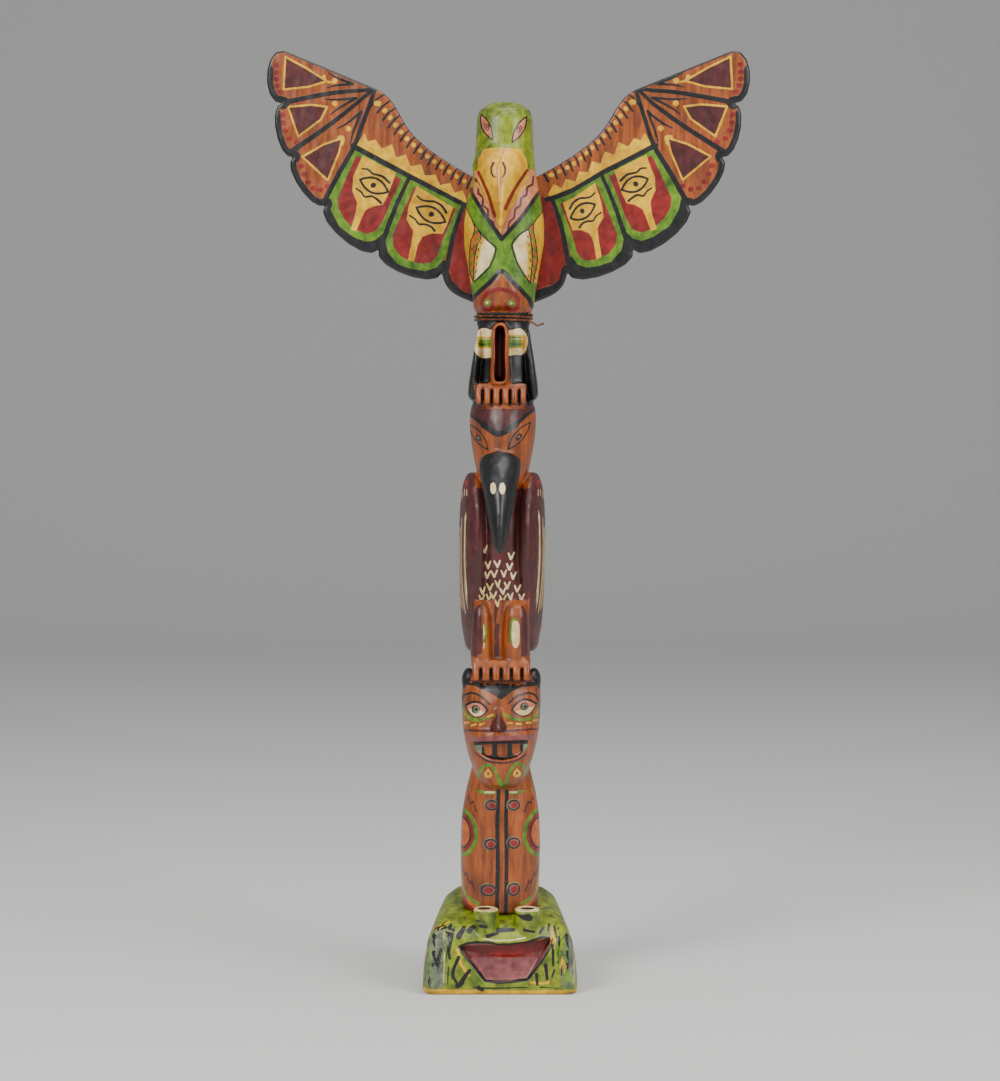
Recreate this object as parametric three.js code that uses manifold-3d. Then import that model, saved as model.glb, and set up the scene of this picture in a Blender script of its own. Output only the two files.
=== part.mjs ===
// Carved and painted wooden model totem pole.
// Millimetres, +Z up, the figures look towards -Y, and the origin is the middle of the underside.
import * as THREE from 'three';
import { mergeVertices } from 'three/addons/utils/BufferGeometryUtils.js';
import Module from 'manifold-3d';

const wasm = await Module();
wasm.setup();

// Driving dimensions
const gap = 0.3; // clearance between pieces that touch
const seatHeight = 57.3; // top of the frog block at the pole's axis
const lean = 0.006; // sideways drift of the pole for each millimetre of height
const backFlat = 22; // distance from the pole's axis to the flat that the wings are fixed to
const wingThickness = 7;
const wireDiameter = 1.6;
const wireHeight = 479.6; // middle of the two turns of wire
const toeCount = 6;
const faceShift = -2.4; // the beaks, crest and noses are carved a little off the pole's middle

// Joining and cutting
function solid(geometry) {
  const bare = geometry.clone();
  bare.deleteAttribute('normal');
  bare.deleteAttribute('uv');
  const merged = mergeVertices(bare, 1e-4);
  return new wasm.Manifold(new wasm.Mesh({
    numProp: 3,
    vertProperties: new Float32Array(merged.attributes.position.array),
    triVerts: new Uint32Array(merged.index.array),
  }));
}

function geometryOf(body) {
  const mesh = body.getMesh();
  const geometry = new THREE.BufferGeometry();
  geometry.setAttribute('position', new THREE.BufferAttribute(mesh.vertProperties, 3));
  geometry.setIndex(new THREE.BufferAttribute(mesh.triVerts, 1));
  geometry.computeVertexNormals();
  return geometry;
}

function join(bodies) {
  return bodies.reduce((whole, body) => whole.add(body));
}

// A level section: w is the half width, front and back are the y reached, y is where it is widest.
// Exponent 2 is an ellipse, towards 1 it has ridges, and above 2 it is squarer.
const plain = { x: 0, y: 0, front: -25, back: 20, nf: 2.2, nb: 2.4 };

function ring(section, sides) {
  const points = [];
  for (let i = 0; i < sides; i++) {
    const angle = 2 * Math.PI * i / sides;
    const c = Math.cos(angle);
    const s = Math.sin(angle);
    const power = 2 / (s < 0 ? section.nf : section.nb);
    const reach = s < 0 ? section.y - section.front : section.back - section.y;
    points.push(new THREE.Vector3(
      section.x + section.w * Math.sign(c) * Math.abs(c) ** power,
      section.y + reach * Math.sign(s) * Math.abs(s) ** power,
      section.z,
    ));
  }
  return points;
}

// Cubic blend between named sections that never overshoots them
function between(sections, step) {
  const rows = sections.map((section) => ({ ...plain, ...section }));
  const keys = Object.keys(rows[0]).filter((key) => key !== 'z');
  const slope = (key, i) => {
    if (i <= 0 || i >= rows.length - 1) return 0;
    const before = (rows[i][key] - rows[i - 1][key]) / (rows[i].z - rows[i - 1].z);
    const after = (rows[i + 1][key] - rows[i][key]) / (rows[i + 1].z - rows[i].z);
    return before * after <= 0 ? 0 : 2 * before * after / (before + after);
  };
  const out = [rows[0]];
  for (let i = 0; i < rows.length - 1; i++) {
    const a = rows[i];
    const b = rows[i + 1];
    const span = b.z - a.z;
    const count = Math.max(1, Math.round(Math.abs(span) / step));
    for (let k = 1; k <= count; k++) {
      const t = k / count;
      const section = { z: a.z + span * t };
      for (const key of keys) {
        const h1 = t * t * (3 - 2 * t);
        const h2 = t * (1 - t) * (1 - t);
        const h3 = t * t * (t - 1);
        section[key] = a[key] * (1 - h1) + b[key] * h1
          + span * (h2 * slope(key, i) + h3 * slope(key, i + 1));
      }
      out.push(section);
    }
  }
  return out;
}

// Skin over rings of equal count, listed from low to high, closed by a fan at each end
function skin(rings) {
  const sides = rings[0].length;
  const points = rings.flat();
  const faces = [];
  for (let r = 0; r < rings.length - 1; r++) {
    for (let i = 0; i < sides; i++) {
      const a = r * sides + i;
      const b = r * sides + (i + 1) % sides;
      faces.push(a, b, b + sides, a, b + sides, a + sides);
    }
  }
  for (const [start, flip] of [[0, true], [(rings.length - 1) * sides, false]]) {
    const middle = new THREE.Vector3();
    for (let i = 0; i < sides; i++) middle.addScaledVector(points[start + i], 1 / sides);
    const centre = points.length;
    points.push(middle);
    for (let i = 0; i < sides; i++) {
      const a = start + i;
      const b = start + (i + 1) % sides;
      if (flip) faces.push(centre, b, a);
      else faces.push(centre, a, b);
    }
  }
  const geometry = new THREE.BufferGeometry().setFromPoints(points);
  geometry.setIndex(faces);
  return geometry;
}

function loft(sections, { step, sides }) {
  return solid(skin(between(sections, step).map((section) => ring(section, sides))));
}

function box(x0, x1, y0, y1, z0, z1) {
  const geometry = new THREE.BoxGeometry(x1 - x0, y1 - y0, z1 - z0);
  geometry.translate((x0 + x1) / 2, (y0 + y1) / 2, (z0 + z1) / 2);
  return solid(geometry);
}

function bump(x, y, z, rx, ry, rz, detail = 12) {
  const geometry = new THREE.SphereGeometry(1, detail, Math.round(detail * 0.6));
  geometry.scale(rx, ry, rz);
  geometry.translate(x, y, z);
  return solid(geometry);
}

// An outline drawn in x and z, pushed from y0 back to y1
function pushed(shape, y0, y1, curveSegments = 6) {
  const geometry = new THREE.ExtrudeGeometry(shape, {
    depth: y1 - y0,
    bevelEnabled: false,
    curveSegments,
  });
  geometry.rotateX(Math.PI / 2);
  geometry.translate(0, y1, 0);
  return solid(geometry);
}

// Thunderbird: upright body and head, lower jaw, beak, and the apron over the wire
function thunderbird() {
  const body = loft([
    { z: 474, w: 19.2, front: -22.2, back: 16.5 },
    { z: 483.4, w: 19.4, front: -22.6, back: 17 },
    { z: 486.4, w: 21.6, front: -25.5, back: 20 },
    { z: 497, w: 22.8, front: -27.5, back: backFlat },
    { z: 515, w: 25.6, front: -28.5, back: backFlat },
    { z: 532, w: 28.6, front: -29.5, back: backFlat },
    { z: 547, w: 28.8, front: -30.5, back: backFlat },
    { z: 563, w: 26.8, front: -30.5, back: backFlat },
    { z: 580, w: 22.8, front: -29.5, back: backFlat },
    { z: 605, w: 20.7, front: -28.5, back: 20 },
    { z: 621, w: 20, front: -27, back: 17 },
    { z: 628, w: 18.2, front: -23.5, back: 14 },
    { z: 632, w: 15, front: -18, back: 10 },
    { z: 633.6, w: 9.5, front: -11, back: 6 },
  ].map((section) => ({ nf: 2.3, nb: 3.4, ...section })), { step: 12, sides: 28 });
  const jaw = loft([
    { z: 536.5, w: 1.5, front: -35, back: -26 },
    { z: 541, w: 4.2, front: -38 },
    { z: 550, w: 9, front: -39.5 },
    { z: 562, w: 15, front: -39 },
    { z: 576, w: 20, front: -36.5 },
    { z: 588, w: 20.6, front: -32 },
    { z: 596, w: 18, front: -27 },
  ].map((section) => ({ x: faceShift, y: -14, back: -6, nf: 1.7, ...section })), { step: 8, sides: 20 });
  const beak = loft([
    { z: 540.8, w: 1.2, front: -46.4, back: -43, y: -45, nf: 2 },
    { z: 543, w: 2.8, front: -47.8, back: -37, y: -42, nf: 1.8 },
    { z: 550, w: 5.6, front: -48.4, y: -27, nf: 1.5 },
    { z: 560, w: 9.6, front: -47.2, y: -24, nf: 1.45 },
    { z: 572, w: 14.2, front: -44, y: -22, nf: 1.5 },
    { z: 583, w: 17.6, front: -40.2, y: -20, nf: 1.7 },
    { z: 592, w: 17, front: -36, y: -18, nf: 2 },
    { z: 599, w: 14.2, front: -31.5, y: -15, nf: 2.2 },
    { z: 602, w: 12, front: -27, y: -12, nf: 2.2 },
  ].map((section) => ({ x: faceShift, back: -8, ...section })), { step: 7, sides: 20 });
  const apron = loft([
    { z: 484.4, w: 15.5, front: -24 },
    { z: 487.4, w: 18.6, front: -28.6 },
    { z: 497, w: 18.4, front: -30.4 },
    { z: 505, w: 13, front: -30.8 },
    { z: 511, w: 5, front: -30 },
    { z: 514, w: 1, front: -28 },
  ].map((section) => ({ x: faceShift / 2, y: -10, back: -4, nf: 2.4, ...section })), { step: 8, sides: 16 });
  return join([body, jaw, beak, apron]);
}

// Black figure: narrow core, a fin down each side, and a long hollow fin in front
function blackFigure() {
  const core = loft([
    { z: 417, w: 19.5, front: -24, back: 20 },
    { z: 440, w: 19.2, front: -23.5, back: 20 },
    { z: 470, w: 18.7, front: -22.6, back: 17.5 },
    { z: 476, w: 17.2, front: -20.8, back: 16 },
  ].map((section) => ({ nf: 3, nb: 3, ...section })), { step: 30, sides: 20 });
  const sideFins = [-1, 1].map((side) => loft([
    { z: 420.6, w: 2, front: -20, back: 8, x: side * 21.6 },
    { z: 424, w: 3.4, front: -24, back: 12, x: side * 21.9 },
    { z: 432, w: 3.6, front: -26, back: 14, x: side * 21.2 },
    { z: 448, w: 3, front: -26, back: 14, x: side * 19.4 },
    { z: 462, w: 2.2, front: -24, back: 12, x: side * 17.8 },
    { z: 471, w: 1.2, front: -20, back: 8, x: side * 17.4 },
  ].map((section) => ({ y: -6, nf: 3.5, nb: 2.5, ...section })), { step: 12, sides: 12 }));
  const finSections = [
    { z: 431, w: 6.4, front: -38 },
    { z: 437, w: 7.2, front: -41.5 },
    { z: 452, w: 6.4, front: -43.5 },
    { z: 466, w: 6.8, front: -42 },
    { z: 472, w: 5.6, front: -39 },
    { z: 475.2, w: 3, front: -35 },
  ].map((section) => ({ x: faceShift, y: -26, back: -18, nf: 3.4, ...section }));
  const hollowSections = finSections.slice(0, 5).map((section) => ({
    ...section,
    w: section.w - 2.9,
    front: section.front - 4,
    back: section.front + 15,
    y: section.front + 3,
    nf: 4,
    nb: 2,
  }));
  hollowSections[0].z += 2.2;
  hollowSections[4].z += 1;
  const fin = loft(finSections, { step: 10, sides: 16 })
    .subtract(loft(hollowSections, { step: 12, sides: 12 }));
  return join([core, ...sideFins, fin]);
}

// A profile drawn in y and z, pushed from x0 to x1
function profile(points, x0, x1) {
  const shape = new THREE.Shape(points.map(([y, z]) => new THREE.Vector2(y, z)));
  const geometry = new THREE.ExtrudeGeometry(shape, { depth: x1 - x0, bevelEnabled: false });
  geometry.rotateX(Math.PI / 2);
  geometry.rotateZ(Math.PI / 2);
  geometry.translate(x0, 0, 0);
  return solid(geometry);
}

// A row of toes: a block that falls away at the front, with slots sawn up into it from below
function toes({ x0, x1, front, back, low, high, web, slotDepth }) {
  const taper = 0.9;
  const face = new THREE.Shape([
    new THREE.Vector2(x0 + taper, low), new THREE.Vector2(x1 - taper, low),
    new THREE.Vector2(x1, high), new THREE.Vector2(x0, high),
  ]);
  const side = profile([
    [back, low], [front, low], [front, low + 5], [front + 3, high - 1.5], [front + 5, high], [back, high],
  ], x0, x1);
  let block = pushed(face, front - 1, back + 1).intersect(side);
  const slotWidth = 1.9;
  const pitch = (x1 - x0 + slotWidth) / toeCount;
  for (let i = 1; i < toeCount; i++) {
    const middle = x0 + i * pitch - slotWidth / 2;
    block = block.subtract(box(middle - slotWidth / 2, middle + slotWidth / 2,
      front - 1, front + slotDepth, low - 1, high - web));
  }
  return block;
}

// Raven: head with a long hanging beak, slim body, wings folded down its sides, and legs
function raven() {
  const head = loft([
    { z: 358.5, w: 15, front: -30, back: 19 },
    { z: 362, w: 17, front: -33.5 },
    { z: 372, w: 19.2, front: -35.5 },
    { z: 385, w: 21.8, front: -36.8 },
    { z: 398, w: 23.6, front: -37 },
    { z: 408, w: 24, front: -35.2 },
    { z: 415, w: 23.2, front: -32.5 },
    { z: 420.5, w: 21, front: -28.5 },
    { z: 423, w: 17.5, front: -24, back: 17 },
  ].map((section) => ({ nf: 2.1, back: 20.5, nb: 2.8, ...section })), { step: 8, sides: 28 });
  const beak = loft([
    { z: 312.6, w: 1.4, front: -64.5, back: -58.5, y: -61.5, nf: 2 },
    { z: 315.5, w: 3.2, front: -66.6, back: -55, y: -60, nf: 1.9 },
    { z: 325, w: 5.6, front: -67.6, back: -49, y: -57, nf: 1.7 },
    { z: 340, w: 8.6, front: -66, back: -40, y: -50, nf: 1.7 },
    { z: 355, w: 11.6, front: -61.5, back: -31, y: -42, nf: 1.8 },
    { z: 366, w: 14, front: -55.5, back: -24, y: -34, nf: 2 },
    { z: 375, w: 15.2, front: -48.5, back: -20, y: -28, nf: 2.1 },
    { z: 381, w: 13.4, front: -42, back: -18, y: -26, nf: 2.2 },
    { z: 385.2, w: 8, front: -36.4, back: -17, y: -24, nf: 2.2 },
  ].map((section) => ({ x: faceShift * 0.8, ...section })), { step: 8, sides: 20 });
  const body = loft([
    { z: 219, w: 17, front: -25, back: 18 },
    { z: 262, w: 18.6, front: -27.5, back: 19 },
    { z: 300, w: 18.8, front: -28.5, back: 19 },
    { z: 335, w: 18, front: -27, back: 19.5 },
    { z: 364, w: 16, front: -25, back: 19.5 },
  ].map((section) => ({ nf: 2.4, nb: 3, ...section })), { step: 40, sides: 20 });
  const wings = [-1, 1].map(foldedWing);
  const legs = [
    { x: -14.3, w: 8 },
    { x: 10.1, w: 10.6 },
  ].map(({ x, w }) => loft([
    { z: 230, w: w - 0.6, front: -32.5 },
    { z: 240, w, front: -34 },
    { z: 256, w: w - 0.4, front: -35.5 },
    { z: 268, w: w - 1, front: -35 },
    { z: 274, w: w - 2.4, front: -32.5 },
    { z: 277.5, w: w - 5, front: -28 },
  ].map((section) => ({ x, y: -16, back: -6, nf: 3, ...section })), { step: 10, sides: 14 }));
  const feet = toes({
    x0: -21, x1: 20.8, front: -37.5, back: -14, low: 221.5, high: 236, web: 5, slotDepth: 6,
  });
  return join([head, beak, body, ...wings, ...legs, feet]);
}

// A folded wing is a long leaf that toes in at its front edge
function foldedWing(side) {
  const toeIn = 0.24;
  const sections = between([
    { z: 239.5, w: 2, y: 4, reach: 4 },
    { z: 243, w: 4.2, y: 3, reach: 9 },
    { z: 258, w: 6.2, y: 0, reach: 16.5 },
    { z: 285, w: 7.2, y: -5, reach: 22.5 },
    { z: 320, w: 7.4, y: -9, reach: 25 },
    { z: 346, w: 7, y: -9.5, reach: 22.5 },
    { z: 360, w: 6, y: -8, reach: 16 },
    { z: 367, w: 4, y: -6, reach: 8.5 },
    { z: 369, w: 1.8, y: -5, reach: 4 },
  ], 14);
  const rings = sections.map((section) => ring({
    ...section, x: 0, y: 0, front: -section.reach, back: section.reach, nf: 2.3, nb: 2.3,
  }, 16).map((point) => {
    const x = point.x * Math.cos(toeIn) - point.y * Math.sin(toeIn) * -1;
    const y = point.y * Math.cos(toeIn) - point.x * Math.sin(toeIn);
    return new THREE.Vector3(21.6 + x, section.y + y, point.z);
  }));
  const geometry = skin(rings);
  if (side > 0) return solid(geometry);
  return solid(geometry).mirror([1, 0, 0]);
}

// Bear-like figure: head with hair bumps, brow, nose, lip and open mouth, over a round column
function bear() {
  const head = loft([
    { z: 144, w: 13.5, front: -30, back: 16 },
    { z: 147, w: 16.8, front: -34.5 },
    { z: 154, w: 19.6, front: -37.5 },
    { z: 165, w: 23.6, front: -39 },
    { z: 176, w: 26.2, front: -39 },
    { z: 190, w: 28, front: -37.5 },
    { z: 206, w: 28.6, front: -36 },
    { z: 215, w: 28.2, front: -33.5 },
    { z: 222, w: 25.5, front: -29 },
    { z: 226, w: 20, front: -22, back: 17 },
  ].map((section) => ({ nf: 2.6, back: 22, nb: 3, ...section })), { step: 8, sides: 28 });
  const ears = [-1, 1].map((side) => bump(side * 23.4, -7, 219.5, 5.4, 9, 9.5));
  const sockets = [-1, 1].map((side) => bump(side * 16.6, -38.6, 198.5, 9.4, 5, 6.6));
  const nose = loft([
    { z: 186.2, w: 4.8, front: -46.6 },
    { z: 189, w: 5.4, front: -47 },
    { z: 195, w: 3.6, front: -43.6 },
    { z: 202, w: 2.6, front: -39 },
  ].map((section) => ({ x: faceShift * 0.8, y: -34, back: -26, nf: 1.8, ...section })), { step: 8, sides: 12 });
  const lip = loft([
    { z: 178.4, w: 24.8, front: -40.4 },
    { z: 180.4, w: 25.9, front: -41.8 },
    { z: 184.6, w: 26.4, front: -41.4 },
    { z: 186.6, w: 26.6, front: -38.6 },
  ].map((section) => ({ nf: 2.6, back: 0, ...section })), { step: 5, sides: 28 });
  const mouthShape = new THREE.Shape();
  mouthShape.moveTo(-21.6, 177.2);
  mouthShape.quadraticCurveTo(0, 179.6, 22.4, 178.4);
  mouthShape.bezierCurveTo(15, 162, -10, 160, -21.6, 177.2);
  const mouth = pushed(mouthShape, -60, -32.5, 6);
  const column = loft([
    { z: 45, w: 27.2, front: -27 },
    { z: 72, w: 28.2, front: -27.4 },
    { z: 100, w: 28.8, front: -27.6 },
    { z: 122, w: 28, front: -27 },
    { z: 138, w: 25.4, front: -25.6 },
    { z: 150, w: 22.4, front: -24 },
    { z: 160, w: 20, front: -22 },
  ].map((section) => ({ nf: 2.5, back: 22, nb: 3, ...section })), { step: 14, sides: 28 });
  // The foot is cut to the slope of the frog's back.
  const ground = profile([
    [-40, 20], [35, 20], [35, topHeight(35) + gap], [-27, topHeight(-27) + gap], [-40, topHeight(-27)],
  ], -50, 50);
  return join([head, ...ears, nose, lip, column])
    .subtract(join(sockets))
    .subtract(mouth)
    .subtract(ground);
}

function pole() {
  const ravenCrest = toes({
    x0: -18.2 + faceShift * 0.7, x1: 18.4 + faceShift * 0.7, front: -35.5, back: -14, low: 417.5, high: 432.5, web: 4.2, slotDepth: 6,
  });
  return join([thunderbird(), blackFigure(), ravenCrest, raven(), bear()]);
}

// Wing board: feather tips are bulges between notches, and the top edge runs in to the shoulder
const notches = [
  [-159.8, 673.7], [-160.5, 635.9], [-152.5, 597.3], [-129.2, 563.1], [-90.6, 531], [-44.8, 514.3],
];
const featherBulges = [12.5, 9.5, 9.5, 12, 11.5];
const innerFeather = { tip: [-31, 495.5], root: [-10, 489] };

function wing(side, stretch) {
  const shape = new THREE.Shape();
  const root = -gap / 2 - 0.2;
  shape.moveTo(root, 489);
  shape.lineTo(root, 572);
  shape.bezierCurveTo(-30, 585, -62, 604, -71, 619);
  shape.bezierCurveTo(-77, 628, -81, 641, -92.8, 646);
  shape.lineTo(...notches[0]);
  for (let i = 0; i < featherBulges.length; i++) {
    const [ax, az] = notches[i];
    const [bx, bz] = notches[i + 1];
    const length = Math.hypot(bx - ax, bz - az);
    const along = [(bx - ax) / length, (bz - az) / length];
    const out = [along[1], -along[0]];
    const reach = featherBulges[i] / 0.75;
    const spread = -0.1 * length;
    shape.bezierCurveTo(
      ax + out[0] * reach + along[0] * spread, az + out[1] * reach + along[1] * spread,
      bx + out[0] * reach - along[0] * spread, bz + out[1] * reach - along[1] * spread,
      bx, bz,
    );
  }
  const [tipX, tipZ] = innerFeather.tip;
  shape.bezierCurveTo(-44, 504, -39, 499, tipX, tipZ);
  shape.bezierCurveTo(-22, 491.5, -16, 489.5, ...innerFeather.root);
  shape.closePath();
  const board = pushed(shape, backFlat + gap, backFlat + gap + wingThickness, 7);
  const placed = side < 0 ? board : board.mirror([1, 0, 0]);
  return placed.scale([stretch, 1, 1]);
}

// Frog block: leaning sides, a top that slopes gently under the pole and falls away to the brow
function topHeight(y) {
  const back = 36; // the highest part of the frog's back
  const brow = -27; // where the gentle slope turns down to the face
  const seatSlope = 0.17;
  const browSlope = 0.46;
  const level = seatHeight + seatSlope * Math.min(Math.max(y, brow), back);
  return level + browSlope * Math.min(0, y - brow);
}

function frogRing({ z, front, back, wideFront, wideBack, corner }) {
  const sidePoints = 3;
  const arcSteps = 4;
  const corners = [
    [wideFront - corner, front + corner, -Math.PI / 2],
    [wideBack - corner, back - corner, 0],
    [-wideBack + corner, back - corner, Math.PI / 2],
    [-wideFront + corner, front + corner, Math.PI],
  ];
  const arcs = corners.map(([x, y, start]) => {
    const arc = [];
    for (let k = 0; k <= arcSteps; k++) {
      const angle = start + Math.PI / 2 * k / arcSteps;
      arc.push(new THREE.Vector2(x + corner * Math.cos(angle), y + corner * Math.sin(angle)));
    }
    return arc;
  });
  const outline = [];
  arcs.forEach((arc, i) => {
    outline.push(...arc);
    const next = arcs[(i + 1) % arcs.length][0];
    for (let k = 1; k < sidePoints; k++) {
      outline.push(arc[arcSteps].clone().lerp(next, k / sidePoints));
    }
  });
  return outline.map(({ x, y }) => new THREE.Vector3(x, y, z * topHeight(y)));
}

// z runs from 0 at the underside to 1 at the top, whatever the height there
function frogBlock() {
  const crown = { z: 1, front: -41, back: 42, wideFront: 39, wideBack: 32.5, corner: 13 };
  const insets = [0.75, 0.5, 0.25].map((share) => ({
    z: 1,
    front: crown.front * share,
    back: crown.back * share,
    wideFront: crown.wideFront * share,
    wideBack: crown.wideBack * share,
    corner: crown.corner * share,
  }));
  return solid(skin([
    { z: 0, front: -49, back: 48, wideFront: 54.4, wideBack: 49, corner: 11 },
    { z: 0.05, front: -50, back: 49, wideFront: 55.4, wideBack: 50, corner: 12 },
    { z: 0.4, front: -50, back: 48.5, wideFront: 54.4, wideBack: 48.5, corner: 13 },
    { z: 0.72, front: -48.8, back: 47.5, wideFront: 51.8, wideBack: 45, corner: 14 },
    { z: 0.9, front: -46.8, back: 45.5, wideFront: 47, wideBack: 40, corner: 14.5 },
    crown,
    ...insets,
  ].map(frogRing)));
}

function frogBase() {
  const eyes = [-9.9, 19.3].map((x) => {
    const eye = new THREE.CylinderGeometry(9.2, 9.4, 17, 26);
    eye.rotateX(Math.PI / 2);
    eye.rotateX(0.09);
    eye.translate(x, -37.8, 51.2);
    return solid(eye);
  });
  const legs = [[-52.5, -38.5], [43, 53.2]].map(([x0, x1]) => {
    const leg = new THREE.Shape();
    leg.moveTo(x0, 2.5);
    leg.lineTo(x1, 2.5);
    leg.lineTo(x1 - Math.sign(x1) * 2, 34);
    leg.quadraticCurveTo((x0 + x1) / 2 - Math.sign(x1) * 2, 48, x0 - Math.sign(x1) * 2, 34);
    leg.closePath();
    return pushed(leg, -51.2, -30, 4);
  });
  const mouthOutline = new THREE.Shape([
    new THREE.Vector2(-28.3, 34), new THREE.Vector2(-10.3, 9.7),
    new THREE.Vector2(19.5, 10.4), new THREE.Vector2(37, 39.4), new THREE.Vector2(6, 34.4),
  ]);
  const mouthBack = -39;
  const mouth = pushed(mouthOutline, -70, mouthBack);
  // The lower lip slopes out of the mouth: its floor stays in while the roof goes deep.
  const lip = profile([[-48.8, 5], [-41, 26], [-30, 26], [-30, 5]], -40, 40);
  return frogBlock()
    .add(join(eyes))
    .add(join(legs))
    .subtract(mouth.subtract(lip));
}

// Wire wound twice round the neck under the thunderbird, with a short free end on the right
function tieWire() {
  const radius = wireDiameter / 2;
  const aroundX = 19.5 + gap + radius;
  const frontY = 22.8 + gap + radius;
  const backY = 17.1 + gap + radius;
  const turns = 2;
  const stepsPerTurn = 20;
  const start = -0.18 * Math.PI;
  const points = [];
  for (let i = 0; i <= turns * stepsPerTurn; i++) {
    const angle = start + 2 * Math.PI * i / stepsPerTurn;
    const c = Math.cos(angle);
    const s = Math.sin(angle);
    const power = 2 / (s < 0 ? 2.3 : 3.4);
    const drop = 2.4 * (0.5 - i / (turns * stepsPerTurn)) * 2;
    points.push(new THREE.Vector3(
      aroundX * Math.sign(c) * Math.abs(c) ** power,
      (s < 0 ? frontY : backY) * Math.sign(s) * Math.abs(s) ** power,
      wireHeight + drop,
    ));
  }
  const last = points[points.length - 1];
  for (const [dx, dy, dz] of [[3.4, 0.6, -1.6], [6, 0, -3.4], [8.6, -0.6, -3.6], [11, -0.8, -1.9]]) {
    points.push(new THREE.Vector3(last.x + dx, last.y + dy, last.z + dz));
  }
  const section = new THREE.Shape();
  section.absarc(0, 0, radius, 0, 2 * Math.PI);
  const geometry = new THREE.ExtrudeGeometry(section, {
    steps: 56,
    curveSegments: 3,
    bevelEnabled: false,
    extrudePath: new THREE.CatmullRomCurve3(points),
  });
  return solid(geometry);
}

const finishes = {
  poleWood: new THREE.MeshStandardMaterial({ color: 0xb2672c, roughness: 0.42, metalness: 0 }),
  wingPaint: new THREE.MeshStandardMaterial({ color: 0xb06a2c, roughness: 0.5, metalness: 0 }),
  frogPaint: new THREE.MeshStandardMaterial({ color: 0x8c9a36, roughness: 0.5, metalness: 0 }),
  brownWire: new THREE.MeshStandardMaterial({ color: 0x5a3420, roughness: 0.45, metalness: 0.3 }),
};

// Every piece above the block drifts sideways with its height.
const leaning = new THREE.Matrix4().set(
  1, 0, lean, -lean * seatHeight,
  0, 1, 0, 0,
  0, 0, 1, 0,
  0, 0, 0, 1,
);

function piece(name, body, finish, leans) {
  const geometry = geometryOf(body);
  if (leans) geometry.applyMatrix4(leaning);
  const mesh = new THREE.Mesh(geometry, finish);
  mesh.name = name;
  return mesh;
}

const totem = new THREE.Group();
totem.add(piece('pole', pole(), finishes.poleWood, true));
totem.add(piece('left_wing', wing(-1, 1), finishes.wingPaint, true));
totem.add(piece('right_wing', wing(1, 1.03), finishes.wingPaint, true));
totem.add(piece('frog_base', frogBase(), finishes.frogPaint, false));
totem.add(piece('tie_wire', tieWire(), finishes.brownWire, true));

export default totem;
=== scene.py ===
import math
import bpy
import numpy as np
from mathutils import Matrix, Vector
from mathutils.bvhtree import BVHTree


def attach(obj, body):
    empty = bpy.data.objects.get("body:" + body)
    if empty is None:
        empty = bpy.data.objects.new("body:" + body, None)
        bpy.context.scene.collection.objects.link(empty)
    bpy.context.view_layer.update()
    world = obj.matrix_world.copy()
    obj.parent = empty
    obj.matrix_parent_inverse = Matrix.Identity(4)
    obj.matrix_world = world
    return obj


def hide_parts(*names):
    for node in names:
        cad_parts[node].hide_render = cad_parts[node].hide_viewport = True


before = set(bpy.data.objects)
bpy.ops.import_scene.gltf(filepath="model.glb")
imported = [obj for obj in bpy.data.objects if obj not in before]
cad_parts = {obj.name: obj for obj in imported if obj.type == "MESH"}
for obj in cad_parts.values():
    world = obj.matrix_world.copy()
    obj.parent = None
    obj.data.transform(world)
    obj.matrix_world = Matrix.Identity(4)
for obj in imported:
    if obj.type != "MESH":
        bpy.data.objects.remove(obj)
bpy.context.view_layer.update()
mm = 0.001

# Paint is kept on the points of each piece as distances in millimetres to the edge of every colour,
# below zero where the colour is. A later colour in this list covers an earlier one.
paintLayers = ["orange", "red", "maroon", "pink", "olive", "green", "yellow", "cream", "grey", "rose",
               "black"]
farAway = 3.0  # distances past this are all the same

carving = {
    "lean": 0.006,  # sideways drift of the pole for each millimetre of height
    "seat": 57.3,  # height of the pole's foot
    "voxel": 0.63,  # size of the grid a piece is remeshed on
    "sanding": 16,  # rounds of smoothing that keep the creases
    "keptTriangles": 22000,  # left on each piece away from the paint edges
    "hollowRounds": (4, 40),  # smoothing rounds that find worn edges, and hollows darkened with grime and painted shade
}
surface = {"finest": 0.5, "coarsest": 4.0, "most": 196000, "band": 0.5}


def selectOnly(*pieces):
    bpy.ops.object.select_all(action="DESELECT")
    for piece in pieces:
        piece.select_set(True)
    bpy.context.view_layer.objects.active = pieces[0]


def applyModifier(piece, kind, **settings):
    selectOnly(piece)
    modifier = piece.modifiers.new(kind, kind)
    for name, value in settings.items():
        setattr(modifier, name, value)
    bpy.ops.object.modifier_apply(modifier=modifier.name)


def copyOfNode(node, name):
    piece = bpy.data.objects.new(name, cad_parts[node].data.copy())
    bpy.context.scene.collection.objects.link(piece)
    selectOnly(piece)
    bpy.ops.object.mode_set(mode="EDIT")
    bpy.ops.mesh.select_all(action="SELECT")
    bpy.ops.mesh.remove_doubles(threshold=1e-6)
    bpy.ops.object.mode_set(mode="OBJECT")
    return piece


def pointsOf(mesh):
    points = np.empty(len(mesh.vertices) * 3, np.float32)
    mesh.vertices.foreach_get("co", points)
    return points.reshape(-1, 3).astype(float) / mm


def trianglesOf(mesh):
    mesh.calc_loop_triangles()
    corners = np.empty(len(mesh.loop_triangles) * 3, np.int32)
    mesh.loop_triangles.foreach_get("vertices", corners)
    return corners.reshape(-1, 3)


def unit(vectors):
    return vectors / np.maximum(np.linalg.norm(vectors, axis=1, keepdims=True), 1e-12)


def spreadTo(count, index, values):
    return np.stack([np.bincount(index, values[:, k], count) for k in range(3)], axis=1)


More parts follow.
